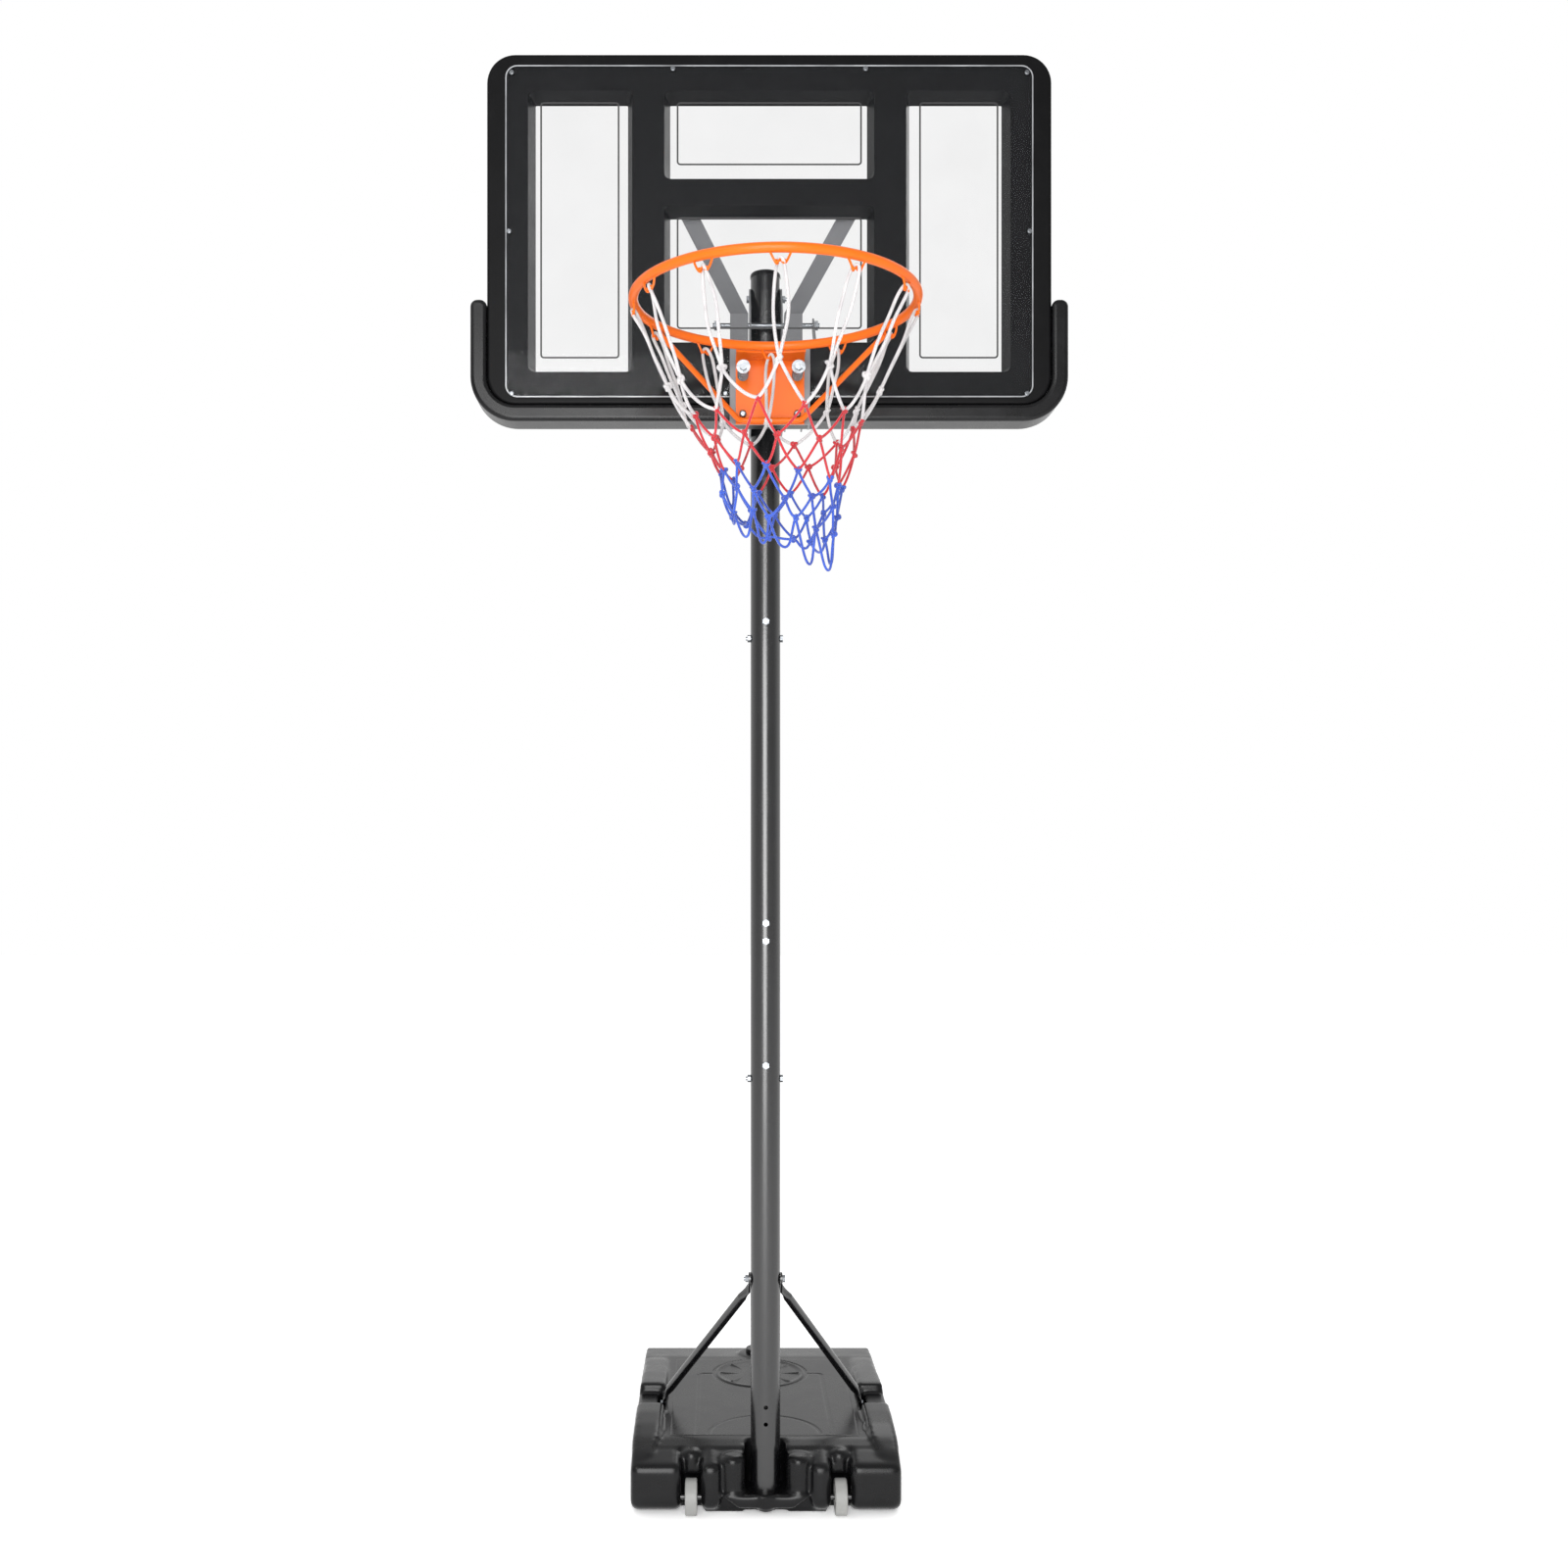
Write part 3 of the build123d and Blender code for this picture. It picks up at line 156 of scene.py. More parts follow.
def relief(material, height, strength, depth, invert=False):
    """A surface that ripples with a height, in mm."""
    return add_node(material, "ShaderNodeBump",
                    {"Strength": strength, "Distance": depth * MM, "invert": invert},
                    {"Height": height}).outputs["Normal"]


def powder_coat(name, hex_colour, hex_dusty, roughness, peel_mm, shine):
    """Polyester powder sprayed on steel and baked: one even satin colour with a slight
    orange-peel ripple, and a little dust that dulls it in broad patches."""
    material, shader, place = new_material(name, {"IOR": 1.5, "Specular IOR Level": shine})
    dust = noise(material, place, 90, 5.0, 0.6)
    peel = noise(material, place, peel_mm)
    join(material, shader, {
        "Base Color": blend(material, dust, hex_colour, hex_dusty),
        "Roughness": remap(material, dust, {"To Min": roughness - 0.05,
                                            "To Max": roughness + 0.08}),
        "Normal": relief(material, peel, 0.12, 0.15)})
    return material


def moulded_plastic(name, hex_colour, hex_scuffed, roughness, pebble_mm, pebble_depth_mm, sheen):
    """Polyethylene or polypropylene coloured through: a fine pebbled skin from the mould,
    flow clouds in the gloss, and pale scuffs where it is handled."""
    material, shader, place = new_material(name, {"IOR": 1.5, "Specular IOR Level": sheen})
    cloud = noise(material, place, 60, 6.0, 0.65)
    scuffs = remap(material, cloud, {"From Min": 0.45, "From Max": 0.75, "To Max": 0.8})
    pebbles = add_node(material, "ShaderNodeTexVoronoi",
                       {"feature": "SMOOTH_F1", "Scale": per_mm(pebble_mm)}, {"Vector": place})
    join(material, shader, {
        "Base Color": blend(material, scuffs, hex_colour, hex_scuffed),
        "Roughness": remap(material, cloud, {"To Min": roughness - 0.08,
                                             "To Max": roughness + 0.1}),
        "Normal": relief(material, pebbles.outputs["Distance"], 0.35, pebble_depth_mm, True)})
    return material


def zinc_plate(name):
    """Bright zinc electroplated on steel bolts, nuts and springs: a cool white metal with a
    clouded gloss, whose dark clouds are partly mottled plating and partly painted shade, and a
    fine grain left from drawing the wire."""
    material, shader, place = new_material(name, {"Metallic": 1.0})
    cloud = noise(material, place, 6, 4.0)
    grain = noise(material, place, 0.8, 1.0)
    join(material, shader, {
        # the colour's dark clouds are partly painted shade on the bolts, and partly mottled plating
        "Base Color": blend(material, cloud, "#94979B", "#5E6164"),
        "Roughness": remap(material, cloud, {"To Min": 0.18, "To Max": 0.42}),
        "Normal": relief(material, grain, 0.2, 0.05)})
    return material


def clear_acrylic(name):
    """Cast acrylic sheet: clear with a faint smoke tint, which takes a little off whatever
    is behind it, and a glossy face with long weak waves in it."""
    material, shader, place = new_material(
        name, {"Base Color": linear("#3A3C3F"), "IOR": 1.49, "Roughness": 0.06,
               "Specular IOR Level": 0.4})
    dust = noise(material, place, 140, 6.0, 0.6)
    waves = noise(material, place, 220, 0.0)
    join(material, shader, {
        "Alpha": remap(material, dust, {"To Min": 0.04, "To Max": 0.09}),
        "Normal": relief(material, waves, 0.1, 0.4)})
    return material


def braided_cord(name, hex_colour, hex_shade):
    """Braided polyester cord: matt strands that cross on the surface, with painted shade between
    them, and a soft fuzz that catches the light at its edges. It reads the cord's own UV map,
    whose U is in cord diameters."""
    material, shader, place = new_material(
        name, {"Roughness": 0.85, "IOR": 1.5, "Sheen Weight": 0.35, "Sheen Roughness": 0.5})
    along = add_node(material, "ShaderNodeUVMap", {"uv_map": "UVMap"}).outputs["UV"]
    strands = []
    for turn in (0.9, -0.9):
        slant = add_node(material, "ShaderNodeMapping",
                         {"Rotation": (0, 0, turn), "Scale": (1.0, 4.0, 1.0)}, {"Vector": along})
        strands.append(add_node(material, "ShaderNodeTexWave",
                                {"Scale": 0.5, "Distortion": 0.4, "Detail": 1.0},
                                {"Vector": slant.outputs["Vector"]}).outputs["Fac"])
    weave = add_node(material, "ShaderNodeMath", {"operation": "MAXIMUM"},
                     {0: strands[0], 1: strands[1]}).outputs[0]
    grime = noise(material, place, 25, 3.0)
    # the colour darkens between the strands as painted shade, and in patches of grime
    strand_shade_and_grime = add_node(material, "ShaderNodeMath", {"operation": "MULTIPLY"},
                    {0: weave, 1: grime}).outputs[0]
    share = remap(material, strand_shade_and_grime, {"From Max": 0.55})
    join(material, shader, {
        "Base Color": blend(material, share, hex_shade, hex_colour),
        "Normal": relief(material, weave, 0.6, 0.4)})
    return material


def edge_highlight_paint(name, hex_colour):
    """Flame-polished edge of acrylic sheet, drawn as a painted highlight: a pale line, brighter and
    dimmer along its run with painted glints where it would catch the light."""
    material, shader, place = new_material(name, {"IOR": 1.49, "Roughness": 0.12})
    painted_glints = noise(material, place, 70, 3.0)
    join(material, shader, {"Base Color": blend(material, painted_glints, hex_colour, "#2E2F31")})
    return material


def screen_ink(name, hex_colour):
    """Screen-printed ink on acrylic: flat black, a touch uneven where the mesh let less
    through."""
    material, shader, place = new_material(name, {"IOR": 1.45, "Roughness": 0.5})
    mesh_marks = noise(material, place, 1.5)
    join(material, shader, {"Base Color": blend(material, mesh_marks, hex_colour, "#2A2A2B")})
    return material


def tap_water(name):
    """Tap water inside the closed tank: clear, with a slight green cast."""
    material, shader, place = new_material(
        name, {"IOR": 1.33, "Roughness": 0.02, "Transmission Weight": 1.0})
    depth = noise(material, place, 120)
    join(material, shader, {"Base Color": blend(material, depth, "#DCEFEA", "#C7E2DD")})
    return material


finishes = {
    "pole_paint": powder_coat("black powder coat", "#060607", "#0A0A0C", 0.24, 1.6, 0.85),
    # painted light: the brackets' grey is partly their paint and partly lightened to stand for the
    # light that falls on them behind the panel
    "bracket_paint": powder_coat("grey powder coat lightened as painted light", "#6B6C6E", "#77787B", 0.40, 1.6, 0.35),
    "rim_paint": powder_coat("orange powder coat", "#CC580F", "#D06016", 0.28, 2.2, 0.18),
    "black_plastic": moulded_plastic(
        "blow-moulded polyethylene", "#0A0A0B", "#111113", 0.27, 1.8, 0.06, 0.24),
    "frame_plastic": moulded_plastic(
        "injection-moulded polypropylene", "#09090A", "#0E0E0F", 0.42, 1.1, 0.06, 0.08),
    "wheel_plastic": moulded_plastic(
        "injection-moulded wheel nylon", "#868684", "#999996", 0.45, 1.5, 0.05, 0.4),
    "zinc_steel": zinc_plate("bright zinc plate"),
    "clear_plastic": clear_acrylic("cast acrylic"),
    "net_cord": braided_cord("white braided polyester", "#BEBBBB", "#868386"),
    "water": tap_water("tap water"),
}
red_cord = braided_cord("red braided polyester", "#B4101F", "#7E0914")
blue_cord = braided_cord("blue braided polyester", "#2850B4", "#10186C")
# the panel's edge is painted pale as a highlight, with painted glints along it
painted_edge_highlight = edge_highlight_paint("acrylic edge painted highlight", "#B4B6B9")
line_ink = screen_ink("black screen ink", "#121213")

for node_name, node in nodes.items():
    node.data.materials.clear()
    node.data.materials.append(finishes[slot_of[node_name]])
# painted shade: the axles sit deep in their slots and look black, so they get the black powder coat
# to stand for the shade there
for node_name in ("wheel_axle_left", "wheel_axle_right"):
    nodes[node_name].data.materials[0] = finishes["pole_paint"]


# ---- shared shapes ----
def stand(name, shape):
    """A bmesh as an object in the scene."""
    mesh = bpy.data.meshes.new(name)
    shape.to_mesh(mesh)
    shape.free()
    holder = bpy.data.objects.new(name, mesh)
    bpy.context.scene.collection.objects.link(holder)
    return holder


def finish_piece(name, shape, materials, body, sharp_angle=40):
    """A bmesh as a smooth-shaded piece on a body, with edges sharper than the angle kept."""
    piece = stand(name, shape)
    mesh = piece.data
    mesh.polygons.foreach_set("use_smooth", [True] * len(mesh.polygons))
    mesh.set_sharp_from_angle(angle=math.radians(sharp_angle))
    for material in materials:
        mesh.materials.append(material)
    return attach(piece, body)


def lay_cord(shape, points, radius, closed=False, sides=2, steps=4, material_index=0):
    """Adds a round cord or wire along a smooth line near the points.
    Its UV map's U counts cord diameters."""
    data = bpy.data.curves.new("run", "CURVE")
    data.dimensions = "3D"
    data.bevel_depth = radius
    data.bevel_resolution = sides
    data.resolution_u = steps
    data.use_fill_caps = not closed
    run = data.splines.new("NURBS")
    run.points.add(len(points) - 1)
    for spline_point, point in zip(run.points, points):
        spline_point.co = (*point, 1)
    run.order_u = 4 if len(points) > 3 else 3
    run.use_endpoint_u = not closed
    run.use_cyclic_u = closed
    holder = bpy.data.objects.new("run", data)
    mesh = bpy.data.meshes.new_from_object(holder)
    length = sum((Vector(b) - Vector(a)).length for a, b in zip(points, points[1:]))
    for loop in mesh.uv_layers[0].data:
        loop.uv.x *= length / (2 * radius)
    for face in mesh.polygons:
        face.material_index = material_index
    shape.from_mesh(mesh)
    bpy.data.objects.remove(holder)
    bpy.data.curves.remove(data)
    bpy.data.meshes.remove(mesh)


def push_out(shape, faces, shift, keep=False):
    """Extrudes faces by a shift in metres, and gives the corners that moved."""
    grown = bmesh.ops.extrude_face_region(shape, geom=faces, use_keep_orig=keep)["geom"]
    moved = [v for v in grown if isinstance(v, bmesh.types.BMVert)]
    bmesh.ops.translate(shape, verts=moved, vec=shift)
    return moved


def side_block(shape, profile, x_low, x_high):
    """Adds a solid whose side outline is the (y, z) profile, in mm, between two x places."""
    corners = [shape.verts.new((x_low * MM, y * MM, z * MM)) for y, z in profile]
    side = shape.faces.new(corners)
    return corners + push_out(shape, [side], ((x_high - x_low) * MM, 0, 0))


def add_post(shape, place, radii, heights, segments):
    """Adds a round post in mm, at an (x, y) place: its radii and heights at foot and top."""
    low, high = heights
    return bmesh.ops.create_cone(
        shape, cap_ends=True, segments=segments, radius1=radii[0] * MM, radius2=radii[1] * MM,
        depth=(high - low) * MM,
        matrix=Matrix.Translation((place[0] * MM, place[1] * MM, (low + high) / 2 * MM)))["verts"]


def round_off(shape, geom, rounding, segments, affect="EDGES"):
    """Rounds edges, or the corners of a flat sheet with "VERTICES", in mm."""
    bmesh.ops.bevel(shape, geom=geom, offset=rounding * MM, offset_type="OFFSET",
                    segments=segments, profile=0.5, affect=affect, material=-1)


def soften(shape, verts, rounding):
    """Rounds all the edges between these corners, in mm."""
    chosen = set(verts)
    edges = [e for e in shape.edges if all(v in chosen for v in e.verts)]
    round_off(shape, edges, rounding, 4)


# ---- rim: where its parts are ----
ring_low, ring_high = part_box("rim_ring")
ring_centre = (ring_low + ring_high) / 2
ring_tube = (ring_high.z - ring_low.z) / 2
ring_radius = (ring_high.x - ring_low.x) / 2 - ring_tube
HOOKS = 12


def around(turn, radius, height):
    """A point round the ring's axis: no turn is the front, and it goes on to the right."""
    return ring_centre + Vector((radius * math.sin(turn), -radius * math.cos(turn),
                                 height - ring_centre.z))


def hook_frame(index):
    """A hook's place under the ring, its sideways direction and its outward direction."""
    turn = 2 * math.pi * index / HOOKS
    sideways = Vector((math.cos(turn), math.sin(turn), 0))
    outward = Vector((math.sin(turn), -math.cos(turn), 0))
    return around(turn, ring_radius, ring_low.z), sideways, outward


def make_hooks():
    """Twelve bent wires welded under the ring: each comes down, curls into an eye, rises to a
    low middle, curls again and goes back up."""
    wire = 1.9 * MM
    # across and up from the ring's underside, in mm
    outline = [(-17, 3), (-14, -4), (-10, -12), (-7, -17), (-4, -17), (-4, -12), (-8, -11),
               (-7, -16), (-2, -14), (0, -9), (2, -14), (7, -16), (8, -11), (4, -12),
               (4, -17), (7, -17), (10, -12), (14, -4), (17, 3)]
    shape = bmesh.new()
    for index in range(HOOKS):
        root, sideways, outward = hook_frame(index)
        points = []
        for step, (across, rise) in enumerate(outline):
            # each curl passes in front of its own wire
            lift = 2.4 * math.sin(math.pi * step / (len(outline) - 1) * 6)
            points.append(root + sideways * (across * MM) + outward * (lift * MM)
                          + Vector((0, 0, rise * MM)))
        lay_cord(shape, points, wire, steps=3)
    piece = finish_piece("wire_hooks", shape, [finishes["rim_paint"]], "rim")
    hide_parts("net_hooks")


def knot(shape, centre, size, radius, turn, material_index):
    """A pulled-tight overhand knot of the cord, about its centre."""
    tilt = Matrix.Rotation(turn, 4, "Z") @ Matrix.Rotation(1.1, 4, "X")
    points, count = [], 21
    for step in range(count):
        t = 2 * math.pi * step / count
        ring = Vector((math.sin(t) + 2 * math.sin(2 * t), math.cos(t) - 2 * math.cos(2 * t),
                       -1.2 * math.sin(3 * t)))
        points.append(centre + tilt @ (ring * size / 3))
    lay_cord(shape, points, radius, closed=True, sides=1, steps=2, material_index=material_index)


def make_net():
    """The net: a long white loop down from each hook, then diamonds of red and of blue cord
    between knots, and slack blue loops at the foot. It hangs a little to the right."""
    chance = random.Random(12)
    white, red, blue = 0, 1, 2
    # radii of the cords, then each kind of knot's size and its cord's radius
    thick, thin = 2.8 * MM, 2.2 * MM
    white_knot, colour_knot = (6.6 * MM, 2.8 * MM), (5.6 * MM, 2.3 * MM)
    # how far the foot leans to the right and hangs lower there, in metres
    lean, droop = 0.012, 0.020
    lean_top, lean_span = 2.12, 0.3
    rows = [  # height, radius, half a step round or not, cord above it, its knots, play in mm
        (2.094, 0.172, False, None, white, 10),
        (2.040, 0.141, True, white, red, 7),
        (1.992, 0.120, False, red, red, 7),
        (1.947, 0.103, True, red, blue, 8),
        (1.905, 0.089, False, blue, blue, 9),
        (1.868, 0.080, True, blue, blue, 9),
    ]
    shape = bmesh.new()

    def loose(amount):
        """A random shift of up to this many millimetres each way."""
        return Vector([chance.uniform(-amount, amount) * MM for _ in range(3)])

    def place(row, index):
        """Where a knot hangs before it is shifted."""
        height, radius, half = rows[row][:3]
        turn = 2 * math.pi * (index + (0.5 if half else 0)) / HOOKS
        point = around(turn, radius, height)
        share = max(0.0, (lean_top - height) / lean_span)
        point.x += lean * share
        point.z -= droop * share * math.sin(turn)
        return point

    knots = [[place(row, index) + loose(rows[row][5]) for index in range(HOOKS)]
             for row in range(len(rows))]
    for index in range(HOOKS):
        root, sideways, outward = hook_frame(index)
        foot = knots[0][index]
        saddle = root + Vector((0, 0, -7 * MM))
        legs = []
        for side in (-1, 1):
            drop = foot - saddle
            bow = chance.uniform(6, 13) * MM
            legs.append([
                saddle + sideways * (side * 4 * MM) + outward * (side * 4.5 * MM)
                - Vector((0, 0, 3 * MM)),
                saddle + sideways * (side * 8 * MM) + outward * (side * 4 * MM) + drop * 0.15,
                saddle + sideways * (side * bow) + drop * 0.38 + loose(3),
                saddle + sideways * (side * bow * 0.9) + drop * 0.6 + loose(4),
                saddle + sideways * (side * 3 * MM) + drop * 0.86 + loose(2),
                foot,
            ])
        lay_cord(shape, legs[0][::-1] + [saddle + Vector((0, 0, 1.5 * MM))] + legs[1], thick,
                 material_index=white)
        knot(shape, foot, *white_knot, chance.uniform(0, 6), white)
    for row in range(1, len(rows)):
        half, above, kind = rows[row][2:5]
        radius = thick if above == white else thin
        for index in range(HOOKS):
            low = knots[row][index]
            for step in (0, 1) if half else (-1, 0):
                high = knots[row - 1][(index + step) % HOOKS]
                run = low - high
                out = Vector((run.y, -run.x, 0)).normalized()
                sag = Vector((0, 0, -chance.uniform(5, 16 if above == white else 8) * MM))
                lay_cord(shape, [
                    high,
                    high + run * 0.3 + sag * 0.8 + loose(2.5),
                    high + run * 0.7 + sag + loose(2.5) + out * chance.uniform(-2, 2) * MM,
                    low,
                ], radius, material_index=above)
            knot(shape, low, *colour_knot, chance.uniform(0, 6), kind)
    last = len(rows) - 1
    for index in range(HOOKS):
        start, end = knots[last][index], knots[last][(index + 1) % HOOKS]
        turn = 2 * math.pi * (index + 1) / HOOKS
        # the slack loops hang lowest at the front right
        drop = 0.030 + 0.028 * math.cos(turn - 0.4) + chance.uniform(-0.012, 0.012)
        middle = (start + end) / 2 + Vector((0.004, 0, -drop))
        side = (end - start) * 0.22
        lay_cord(shape, [
            start,
            start * 0.6 + middle * 0.4 - side * 0.25 + loose(2),
            middle - side + Vector((0, 0, -0.004)) + loose(2),
            middle + side + Vector((0, 0, -0.004)) + loose(2),
            end * 0.6 + middle * 0.4 + side * 0.25 + loose(2),
            end,
        ], thin, material_index=blue)
    piece = finish_piece("knotted_net", shape, [finishes["net_cord"], red_cord, blue_cord],
                         "rim", 60)
    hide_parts("net")


def make_springs():
    """The two coil springs, with their end turns wound close and their ends cut square."""
    for side in ("left", "right"):
        low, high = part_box(f"rim_spring_{side}")
        middle = (low + high) / 2
        wire = 1.5 * MM
        radius = (high.x - low.x) / 2 - wire
        turns, steps = 8, 14
        shape = bmesh.new()
        points = []
        for step in range(turns * steps + 1):
            share = step / (turns * steps)
            # the first and last turns lie flat on the washer and on the plate
            rise = share - 0.035 * math.sin(2 * math.pi * share)
            angle = 2 * math.pi * step / steps
            points.append((middle.x + radius * math.sin(angle),
                           low.y + wire + (high.y - low.y - 2 * wire) * rise,
                           middle.z + radius * math.cos(angle)))
        lay_cord(shape, points, wire, steps=2)
        piece = finish_piece(f"coil_spring_{side}", shape, [finishes["zinc_steel"]],
                             "hoop")
        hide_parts(f"rim_spring_{side}")
        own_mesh(piece)


# ---- base tank, in mm ----
HALF_WIDTH = 272
DECK_TOP = 130
FRONT, REAR = -50, 755
DECK_FRONT = 207
SEAT_FRONT, SEAT_REAR = 204, 327  # the notches that hold the struts' feet
SEAT_INNER = 229
SHOULDER_INNER, SHOULDER_OUTER = 212, 271
POLE_BAY = 43  # half the gap that the pole stands in
FILL_HOLE = (0, 620)
REAR_CORNER = 104


def tank_side(shape, side):
    """One side of the tank: 1 is the right side and -1 the left."""
    # lobes beside the wheel, and the wall in front of the deck
    for inner, outer in ((170, HALF_WIDTH), (91, 131)):
        lobe = side_block(shape, [(-10, 0), (FRONT, 20), (FRONT, 102), (15, 122), (15, 0)],
                          side * inner, side * outer)
        soften(shape, lobe, 14)
    side_block(shape, [(-20, 0), (-20, 110), (14, 120), (14, 0)], side * POLE_BAY, side * 122)
    side_block(shape, [(10, 0), (10, 121), (40, DECK_TOP), (DECK_FRONT, DECK_TOP),
                       (DECK_FRONT, 0)], side * 41, side * HALF_WIDTH)
    # the seat of the strut's foot, open above
    for inner, outer, top in ((211, 231, 98), (SEAT_INNER, HALF_WIDTH, 128)):
        side_block(shape, [(SEAT_FRONT, 0), (SEAT_FRONT, top), (SEAT_REAR, top), (SEAT_REAR, 0)],
                   side * inner, side * outer)
    # the shoulder in front of the seat narrows towards the front
    ridge = side_block(
        shape, [(-46, 88), (-42, 102), (-14, 119), (30, 135), (80, 145), (140, 150),
                (205, 150), (205, 90)], side * SHOULDER_INNER, side * SHOULDER_OUTER)
    for corner in ridge:
        if corner.co.y < 0 and abs(corner.co.x) < 0.22:
            corner.co.x += side * 26 * MM
    soften(shape, ridge, 10)
    # and the one behind it towards the rear
    tail = side_block(
        shape, [(325, 120), (325, 150), (420, 144), (560, 133), (640, 123), (650, 105)],
        side * SHOULDER_INNER, side * SHOULDER_OUTER)
    for corner in tail:
        if corner.co.y > 0.6 and abs(corner.co.x) > 0.25:
            corner.co.x -= side * 20 * MM
    soften(shape, tail, 10)
    # pillar beside the pole, and the dome over the wheel
    for x, y, radius, low, high, rounding in (
        (66, -20, 25, 40, 118, 13), (150, 5, 21.5, 75, 121, 15)):
        post = add_post(shape, (side * x, y), (radius, radius), (low, high), 32)
        head = [e for e in shape.edges if all(v in post and v.co.z > (high - 1) * MM
                                              for v in e.verts)]
        round_off(shape, head, rounding, 4)


def tank_middle(shape):
    """What lies between the tank's two sides, and its rear."""
    side_block(shape, [(36, 0), (36, 129), (40, DECK_TOP), (DECK_FRONT, DECK_TOP),
                       (DECK_FRONT, 0)], -POLE_BAY, POLE_BAY)
    side_block(shape, [(SEAT_FRONT, 0), (SEAT_FRONT, DECK_TOP), (SEAT_REAR, DECK_TOP),
                       (SEAT_REAR, 0)], -213, 213)
    side_block(shape, [(-12, 0), (-12, 43), (40, 43), (40, 0)], -91, 91)
    rear = side_block(shape, [(325, 0), (325, DECK_TOP), (590, DECK_TOP), (685, 122), (REAR, 97),
                              (REAR, 0)], -HALF_WIDTH, HALF_WIDTH)
    corners = {v for v in rear if v.co.y > (REAR - 1) * MM}
    uprights = [e for e in shape.edges if all(v in corners for v in e.verts)
                and abs(e.verts[0].co.x - e.verts[1].co.x) < 1e-6]
    round_off(shape, uprights, REAR_CORNER, 14)
    # the front step that the pole stands behind, narrower at its foot
    lip = shape.faces.new([shape.verts.new((x * MM, FRONT * MM, z * MM))
                           for x, z in ((-54, 17), (-89, 43), (89, 43), (54, 17))])
    push_out(shape, [lip], (0, 45 * MM, 0))
    # the cup that the pole's foot stands in, tapering down the front of that step
    add_post(shape, (0, -25), (17, 31), (7, 45), 48)
    # raised ring round the filling hole
    add_post(shape, FILL_HOLE, (48, 46), (112.5, 132.5), 64)
    bmesh.ops.recalc_face_normals(shape, faces=shape.faces)


def make_tank():
    """The blow-moulded tank: every part of it is put together and then melted into one skin,
    which gives it the soft edges of a mould. The filling hole is drilled after that."""
    shape = bmesh.new()
    for side in (-1, 1):
        tank_side(shape, side)
    tank_middle(shape)
    lump = stand("tank_lump", shape)
    melt = lump.modifiers.new("melt", "REMESH")
    melt.mode = "VOXEL"
    melt.voxel_size = 4.2 * MM
    calm = lump.modifiers.new("calm", "SMOOTH")
    calm.factor = 0.5
    calm.iterations = 5
    shape = bmesh.new()
    add_post(shape, FILL_HOLE, (24.2, 24.2), (98, 158), 48)
    bore = stand("filling_bore", shape)
    drill = lump.modifiers.new("drill", "BOOLEAN")
    drill.operation = "DIFFERENCE"
    drill.object = bore
    drill.solver = "EXACT"
    bpy.context.view_layer.update()
    melted = bpy.data.meshes.new_from_object(
        lump.evaluated_get(bpy.context.evaluated_depsgraph_get()))
    shape = bmesh.new()
    shape.from_mesh(melted)
    for obj in (lump, bore):
        bpy.data.objects.remove(obj)
    piece = finish_piece("moulded_tank", shape, [finishes["black_plastic"]], "hoop",
                         60)
    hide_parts("base_tank")


# the pattern pressed in the deck, in mm: a court's key with its half circle, and a ball in a ring
BALL_Y, BALL_FACE, BALL_RING = 460, 92, 109
BALL_SIDE_SEAM, BALL_SIDE_PLACE = 84, 122  # radius and place of its two curved seams
KEY_HALF_WIDTH, KEY_FOOT, KEY_HEAD, KEY_CORNER = 140, 55, 455, 10
HALF_CIRCLE = 115
LINE_WIDTH, LINE_DEPTH = 2.6, 2.5


def groove(distance, width):
    """How deep a pressed line is at a distance from its middle: 1 there, 0 beyond its width."""
    return math.exp(-((distance / width) ** 2))


def deck_relief(x, y):
    """The height of the pressed pattern at a place on the deck."""
    x = abs(x)
    across = math.hypot(x, y - BALL_Y)
    if across > BALL_RING:
        bend_x, bend_y = KEY_HALF_WIDTH - KEY_CORNER, KEY_HEAD - KEY_CORNER
        depth = 0.0
        if KEY_FOOT < y < bend_y:
            depth += groove(abs(x - KEY_HALF_WIDTH), LINE_WIDTH)
        if x < bend_x + 2:
            depth += groove(abs(y - KEY_HEAD), LINE_WIDTH)
        if x >= bend_x and y >= bend_y - 2:
            depth += groove(math.hypot(x - bend_x, y - bend_y) - KEY_CORNER, LINE_WIDTH)
        if y > KEY_FOOT:
            depth += groove(math.hypot(x, y - KEY_FOOT) - HALF_CIRCLE, 2.4)
        return -LINE_DEPTH * depth
    side_seam = abs(math.hypot(x - BALL_SIDE_PLACE, y - BALL_Y) - BALL_SIDE_SEAM)
    seams = min(x, abs(y - BALL_Y), side_seam)
    dish = 4.6 * (1 - (across / BALL_FACE) ** 2) if across < BALL_FACE else 0.0
    seam = 3.2 * groove(seams, 3.4) if across < BALL_FACE - 2 else 0.0
    return 2.0 * groove(across - 99, 5) - 2.2 * groove(across - 106, 3) - dish + seam - 0.4


def make_deck():
    """The deck's pressed pattern, on a fine skin whose edge dips into the tank."""
    low_x, high_x, low_y, high_y = -198, 198, 46, 569
    spacing, skin_top, edge_width, edge_sink = 2.2, 131.0, 7, 2.4
    across, along = int((high_x - low_x) / spacing), int((high_y - low_y) / spacing)
    shape = bmesh.new()
    bmesh.ops.create_grid(shape, x_segments=across, y_segments=along, size=0.5)
    bmesh.ops.scale(shape, vec=((high_x - low_x) * MM, (high_y - low_y) * MM, 1), verts=shape.verts)
    bmesh.ops.translate(shape, vec=((low_x + high_x) / 2 * MM, (low_y + high_y) / 2 * MM, 0),
                        verts=shape.verts)
    for corner in shape.verts:
        x, y = corner.co.x / MM, corner.co.y / MM
        edge = min(x - low_x, high_x - x, y - low_y, high_y - y)
        sink = edge_sink * max(0.0, 1 - edge / edge_width) ** 2
        corner.co.z = (skin_top + deck_relief(x, y) - sink) * MM
    finish_piece("pressed_deck", shape, [finishes["black_plastic"]], "hoop", 80)


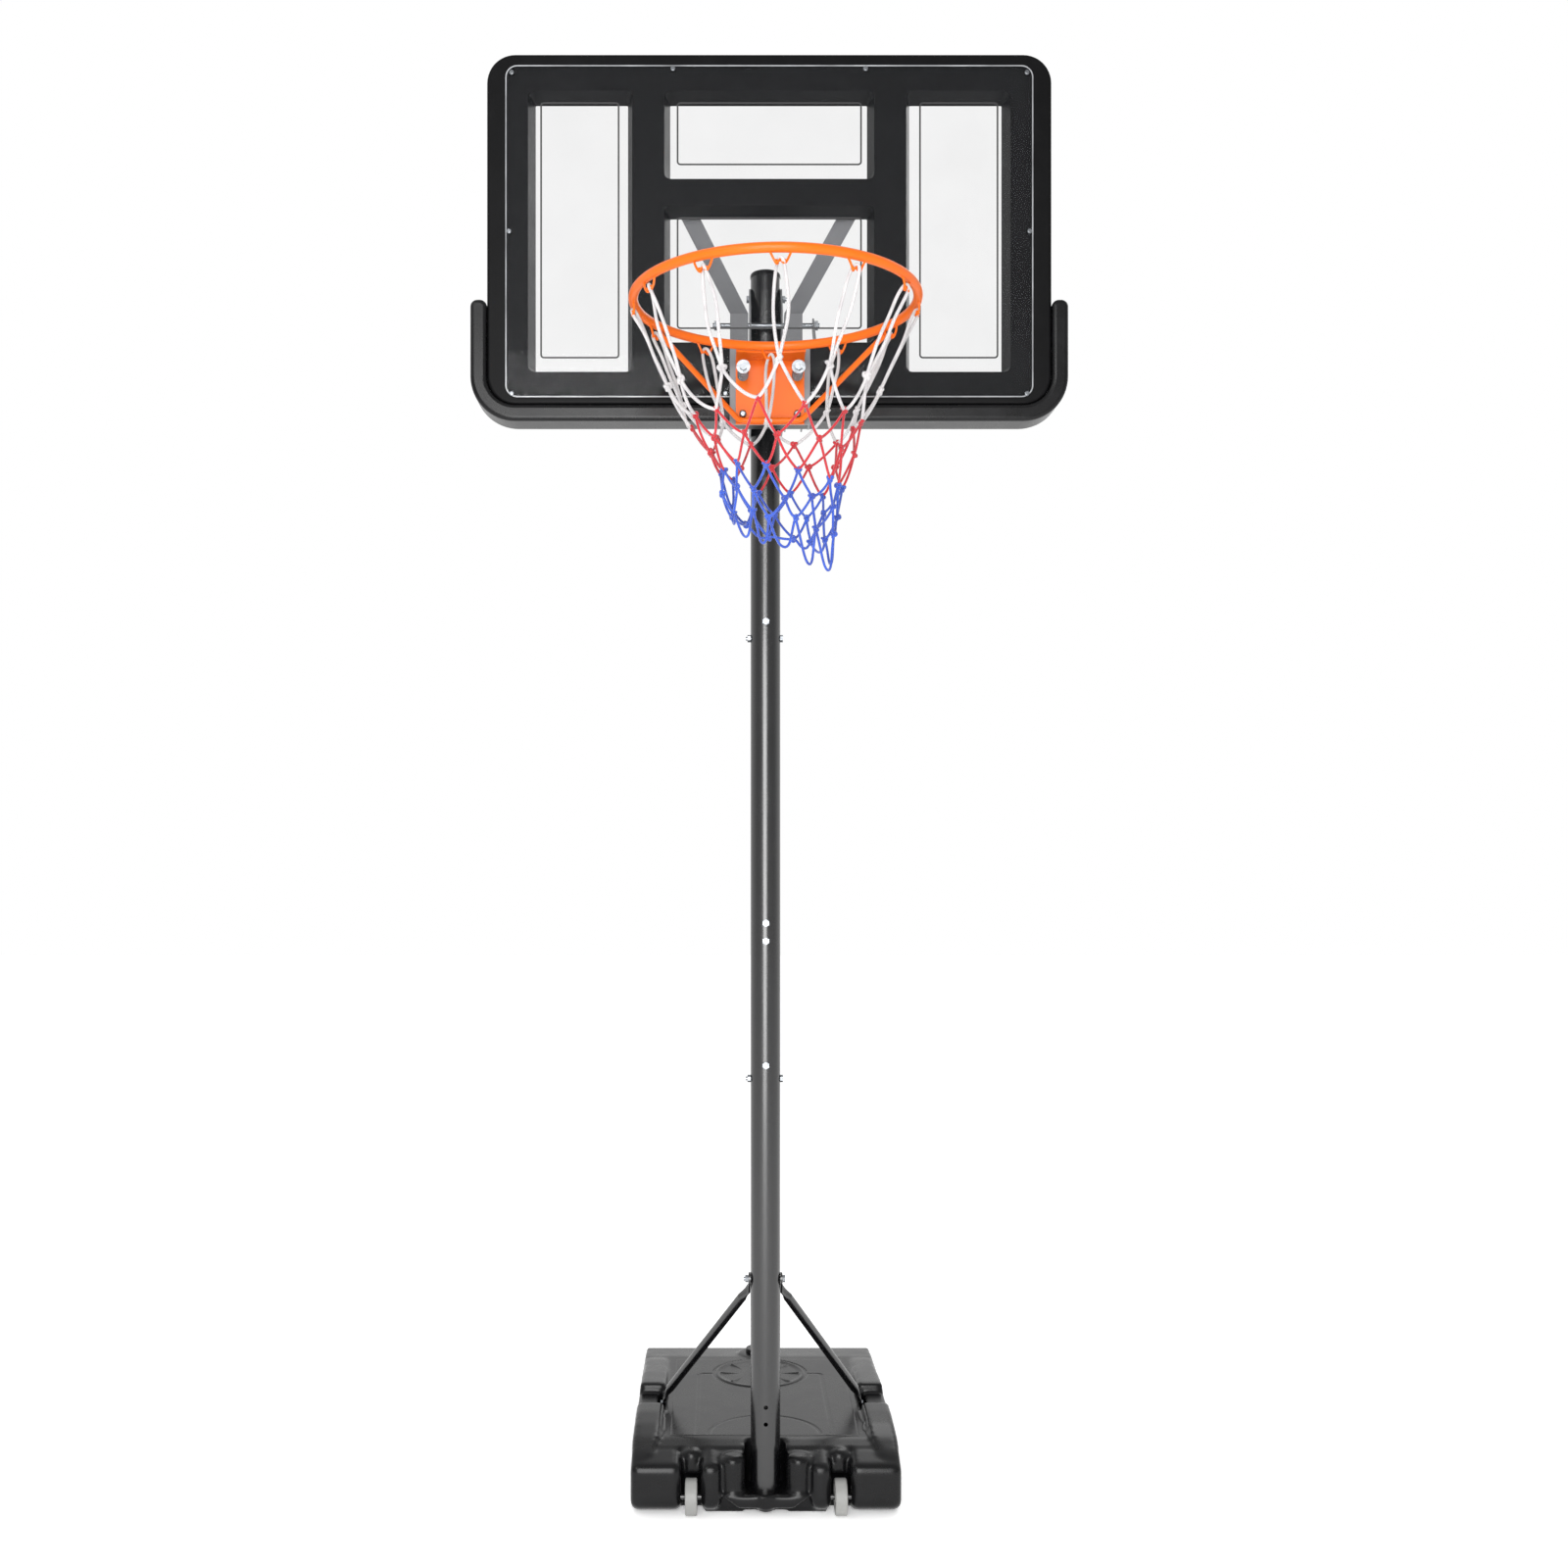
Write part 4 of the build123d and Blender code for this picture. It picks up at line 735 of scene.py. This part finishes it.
# ---- board ----
def add_outline(shape, middle, size, corner, line, depth=0):
    """Adds a flat upright frame round a rounded oblong, whose middle and size are in metres.
    Its corners' radius, its line's width and how far it is raised are in mm."""
    made = bmesh.ops.create_grid(shape, x_segments=1, y_segments=1, size=0.5)["verts"]
    bmesh.ops.scale(shape, verts=made, vec=(*size, 1))
    bmesh.ops.rotate(shape, verts=made, matrix=Matrix.Rotation(math.radians(90), 3, "X"))
    bmesh.ops.translate(shape, verts=made, vec=middle)
    round_off(shape, made, corner, 6, "VERTICES")
    whole = 0.005  # square metres: the sheet is larger, and each face of a line is smaller
    sheet = [f for f in shape.faces if f.calc_area() > whole]
    bmesh.ops.inset_individual(shape, faces=sheet, thickness=line * MM, depth=0,
                               use_even_offset=True)
    bmesh.ops.delete(shape, geom=[f for f in shape.faces if f.calc_area() > whole],
                     context="FACES_ONLY")
    if depth:
        band = [f for f in shape.faces if f.normal.y < -0.9
                and abs(f.calc_center_median().y - middle[1]) < 1e-6]
        push_out(shape, band, (0, -depth * MM, 0), keep=True)


def make_lines():
    """A thin printed line round each window, just inside its edge, on the face of the panel."""
    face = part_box("clear_panel")[0].y
    inset = 23.5
    # each window's middle across, width, foot and top, in mm
    windows = [(-354, 195, 2228, 2754), (354, 195, 2228, 2754), (0, 393, 2589, 2754),
               (0, 393, 2283, 2539)]
    shape = bmesh.new()
    for x_middle, width, low, high in windows:
        add_outline(shape, (x_middle * MM, face - 0.15 * MM, (low + high) / 2 * MM),
                    ((width - 2 * inset) * MM, (high - low - 2 * inset) * MM), 7, 3.2)
    finish_piece("printed_lines", shape, [line_ink], "hoop")


def make_panel_edge():
    """The panel's polished edge, a narrow band painted pale all round it as a highlight."""
    low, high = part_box("clear_panel")
    middle = (low + high) / 2
    inside = 0.5 * MM
    shape = bmesh.new()
    add_outline(shape, (middle.x, low.y + 0.1 * MM, middle.z),
                (high.x - low.x - inside, high.z - low.z - inside), 22, 2.2, 0.5)
    finish_piece("panel_edge", shape, [painted_edge_highlight], "hoop")


make_hooks()
make_net()
make_springs()
make_tank()
make_deck()
make_lines()
make_panel_edge()


# ---- floor and light ----
def studio_paper():
    """Matt white studio paper, lit from beneath a little so that it stays white far off."""
    material = bpy.data.materials.new("studio paper")
    material.use_nodes = True
    shader = material.node_tree.nodes["Principled BSDF"]
    for socket, value in (("Base Color", linear("#FFFFFF")), ("Roughness", 1.0),
                          ("Specular IOR Level", 0.0), ("Emission Color", (1, 1, 1, 1)),
                          ("Emission Strength", 0.3)):
        shader.inputs[socket].default_value = value
    return material


def make_floor():
    """A wide white floor, a hair below the base."""
    shape = bmesh.new()
    bmesh.ops.create_grid(shape, x_segments=1, y_segments=1, size=20)
    floor = stand("floor", shape)
    floor.location = (0, 0, cad_box[0][2] - 0.5 * MM)
    floor.data.materials.append(studio_paper())


def area_light(name, place, target, size, watts):
    """A soft box aimed at a point."""
    data = bpy.data.lights.new(name, "AREA")
    data.shape = "RECTANGLE"
    data.size, data.size_y = size
    data.energy = watts
    lamp = bpy.data.objects.new(name, data)
    lamp.location = place
    bpy.context.scene.collection.objects.link(lamp)
    aim(lamp, target)


make_floor()
# the strip in front draws the bright line down the pole
area_light("strip", (-0.42, -4.1, 1.85), (0, 0, 1.85), (2.0, 3.2), 190)
area_light("key", (-2.6, -3.4, 4.6), (0, 0, 1.5), (1.6, 2.4), 35)
area_light("back", (1.2, 3.6, 3.8), (0, 0, 1.4), (2.5, 2.0), 40)
world = bpy.data.worlds.new("studio")
world.use_nodes = True
# the wall behind the hoop is lit, and the room in front of it is darker
direction = add_node(world, "ShaderNodeTexCoord").outputs["Generated"]
parts = add_node(world, "ShaderNodeSeparateXYZ", links={"Vector": direction})
glow = add_node(world, "ShaderNodeMapRange",
                {"From Min": -0.35, "From Max": 0.25, "To Min": 0.55, "To Max": 1.0},
                {"Value": parts.outputs["Y"]})
world.node_tree.links.new(glow.outputs["Result"],
                          world.node_tree.nodes["Background"].inputs["Strength"])
world.node_tree.nodes["Background"].inputs["Color"].default_value = (1, 1, 1, 1)
bpy.context.scene.world = world
bpy.context.scene.view_settings.view_transform = "Standard"
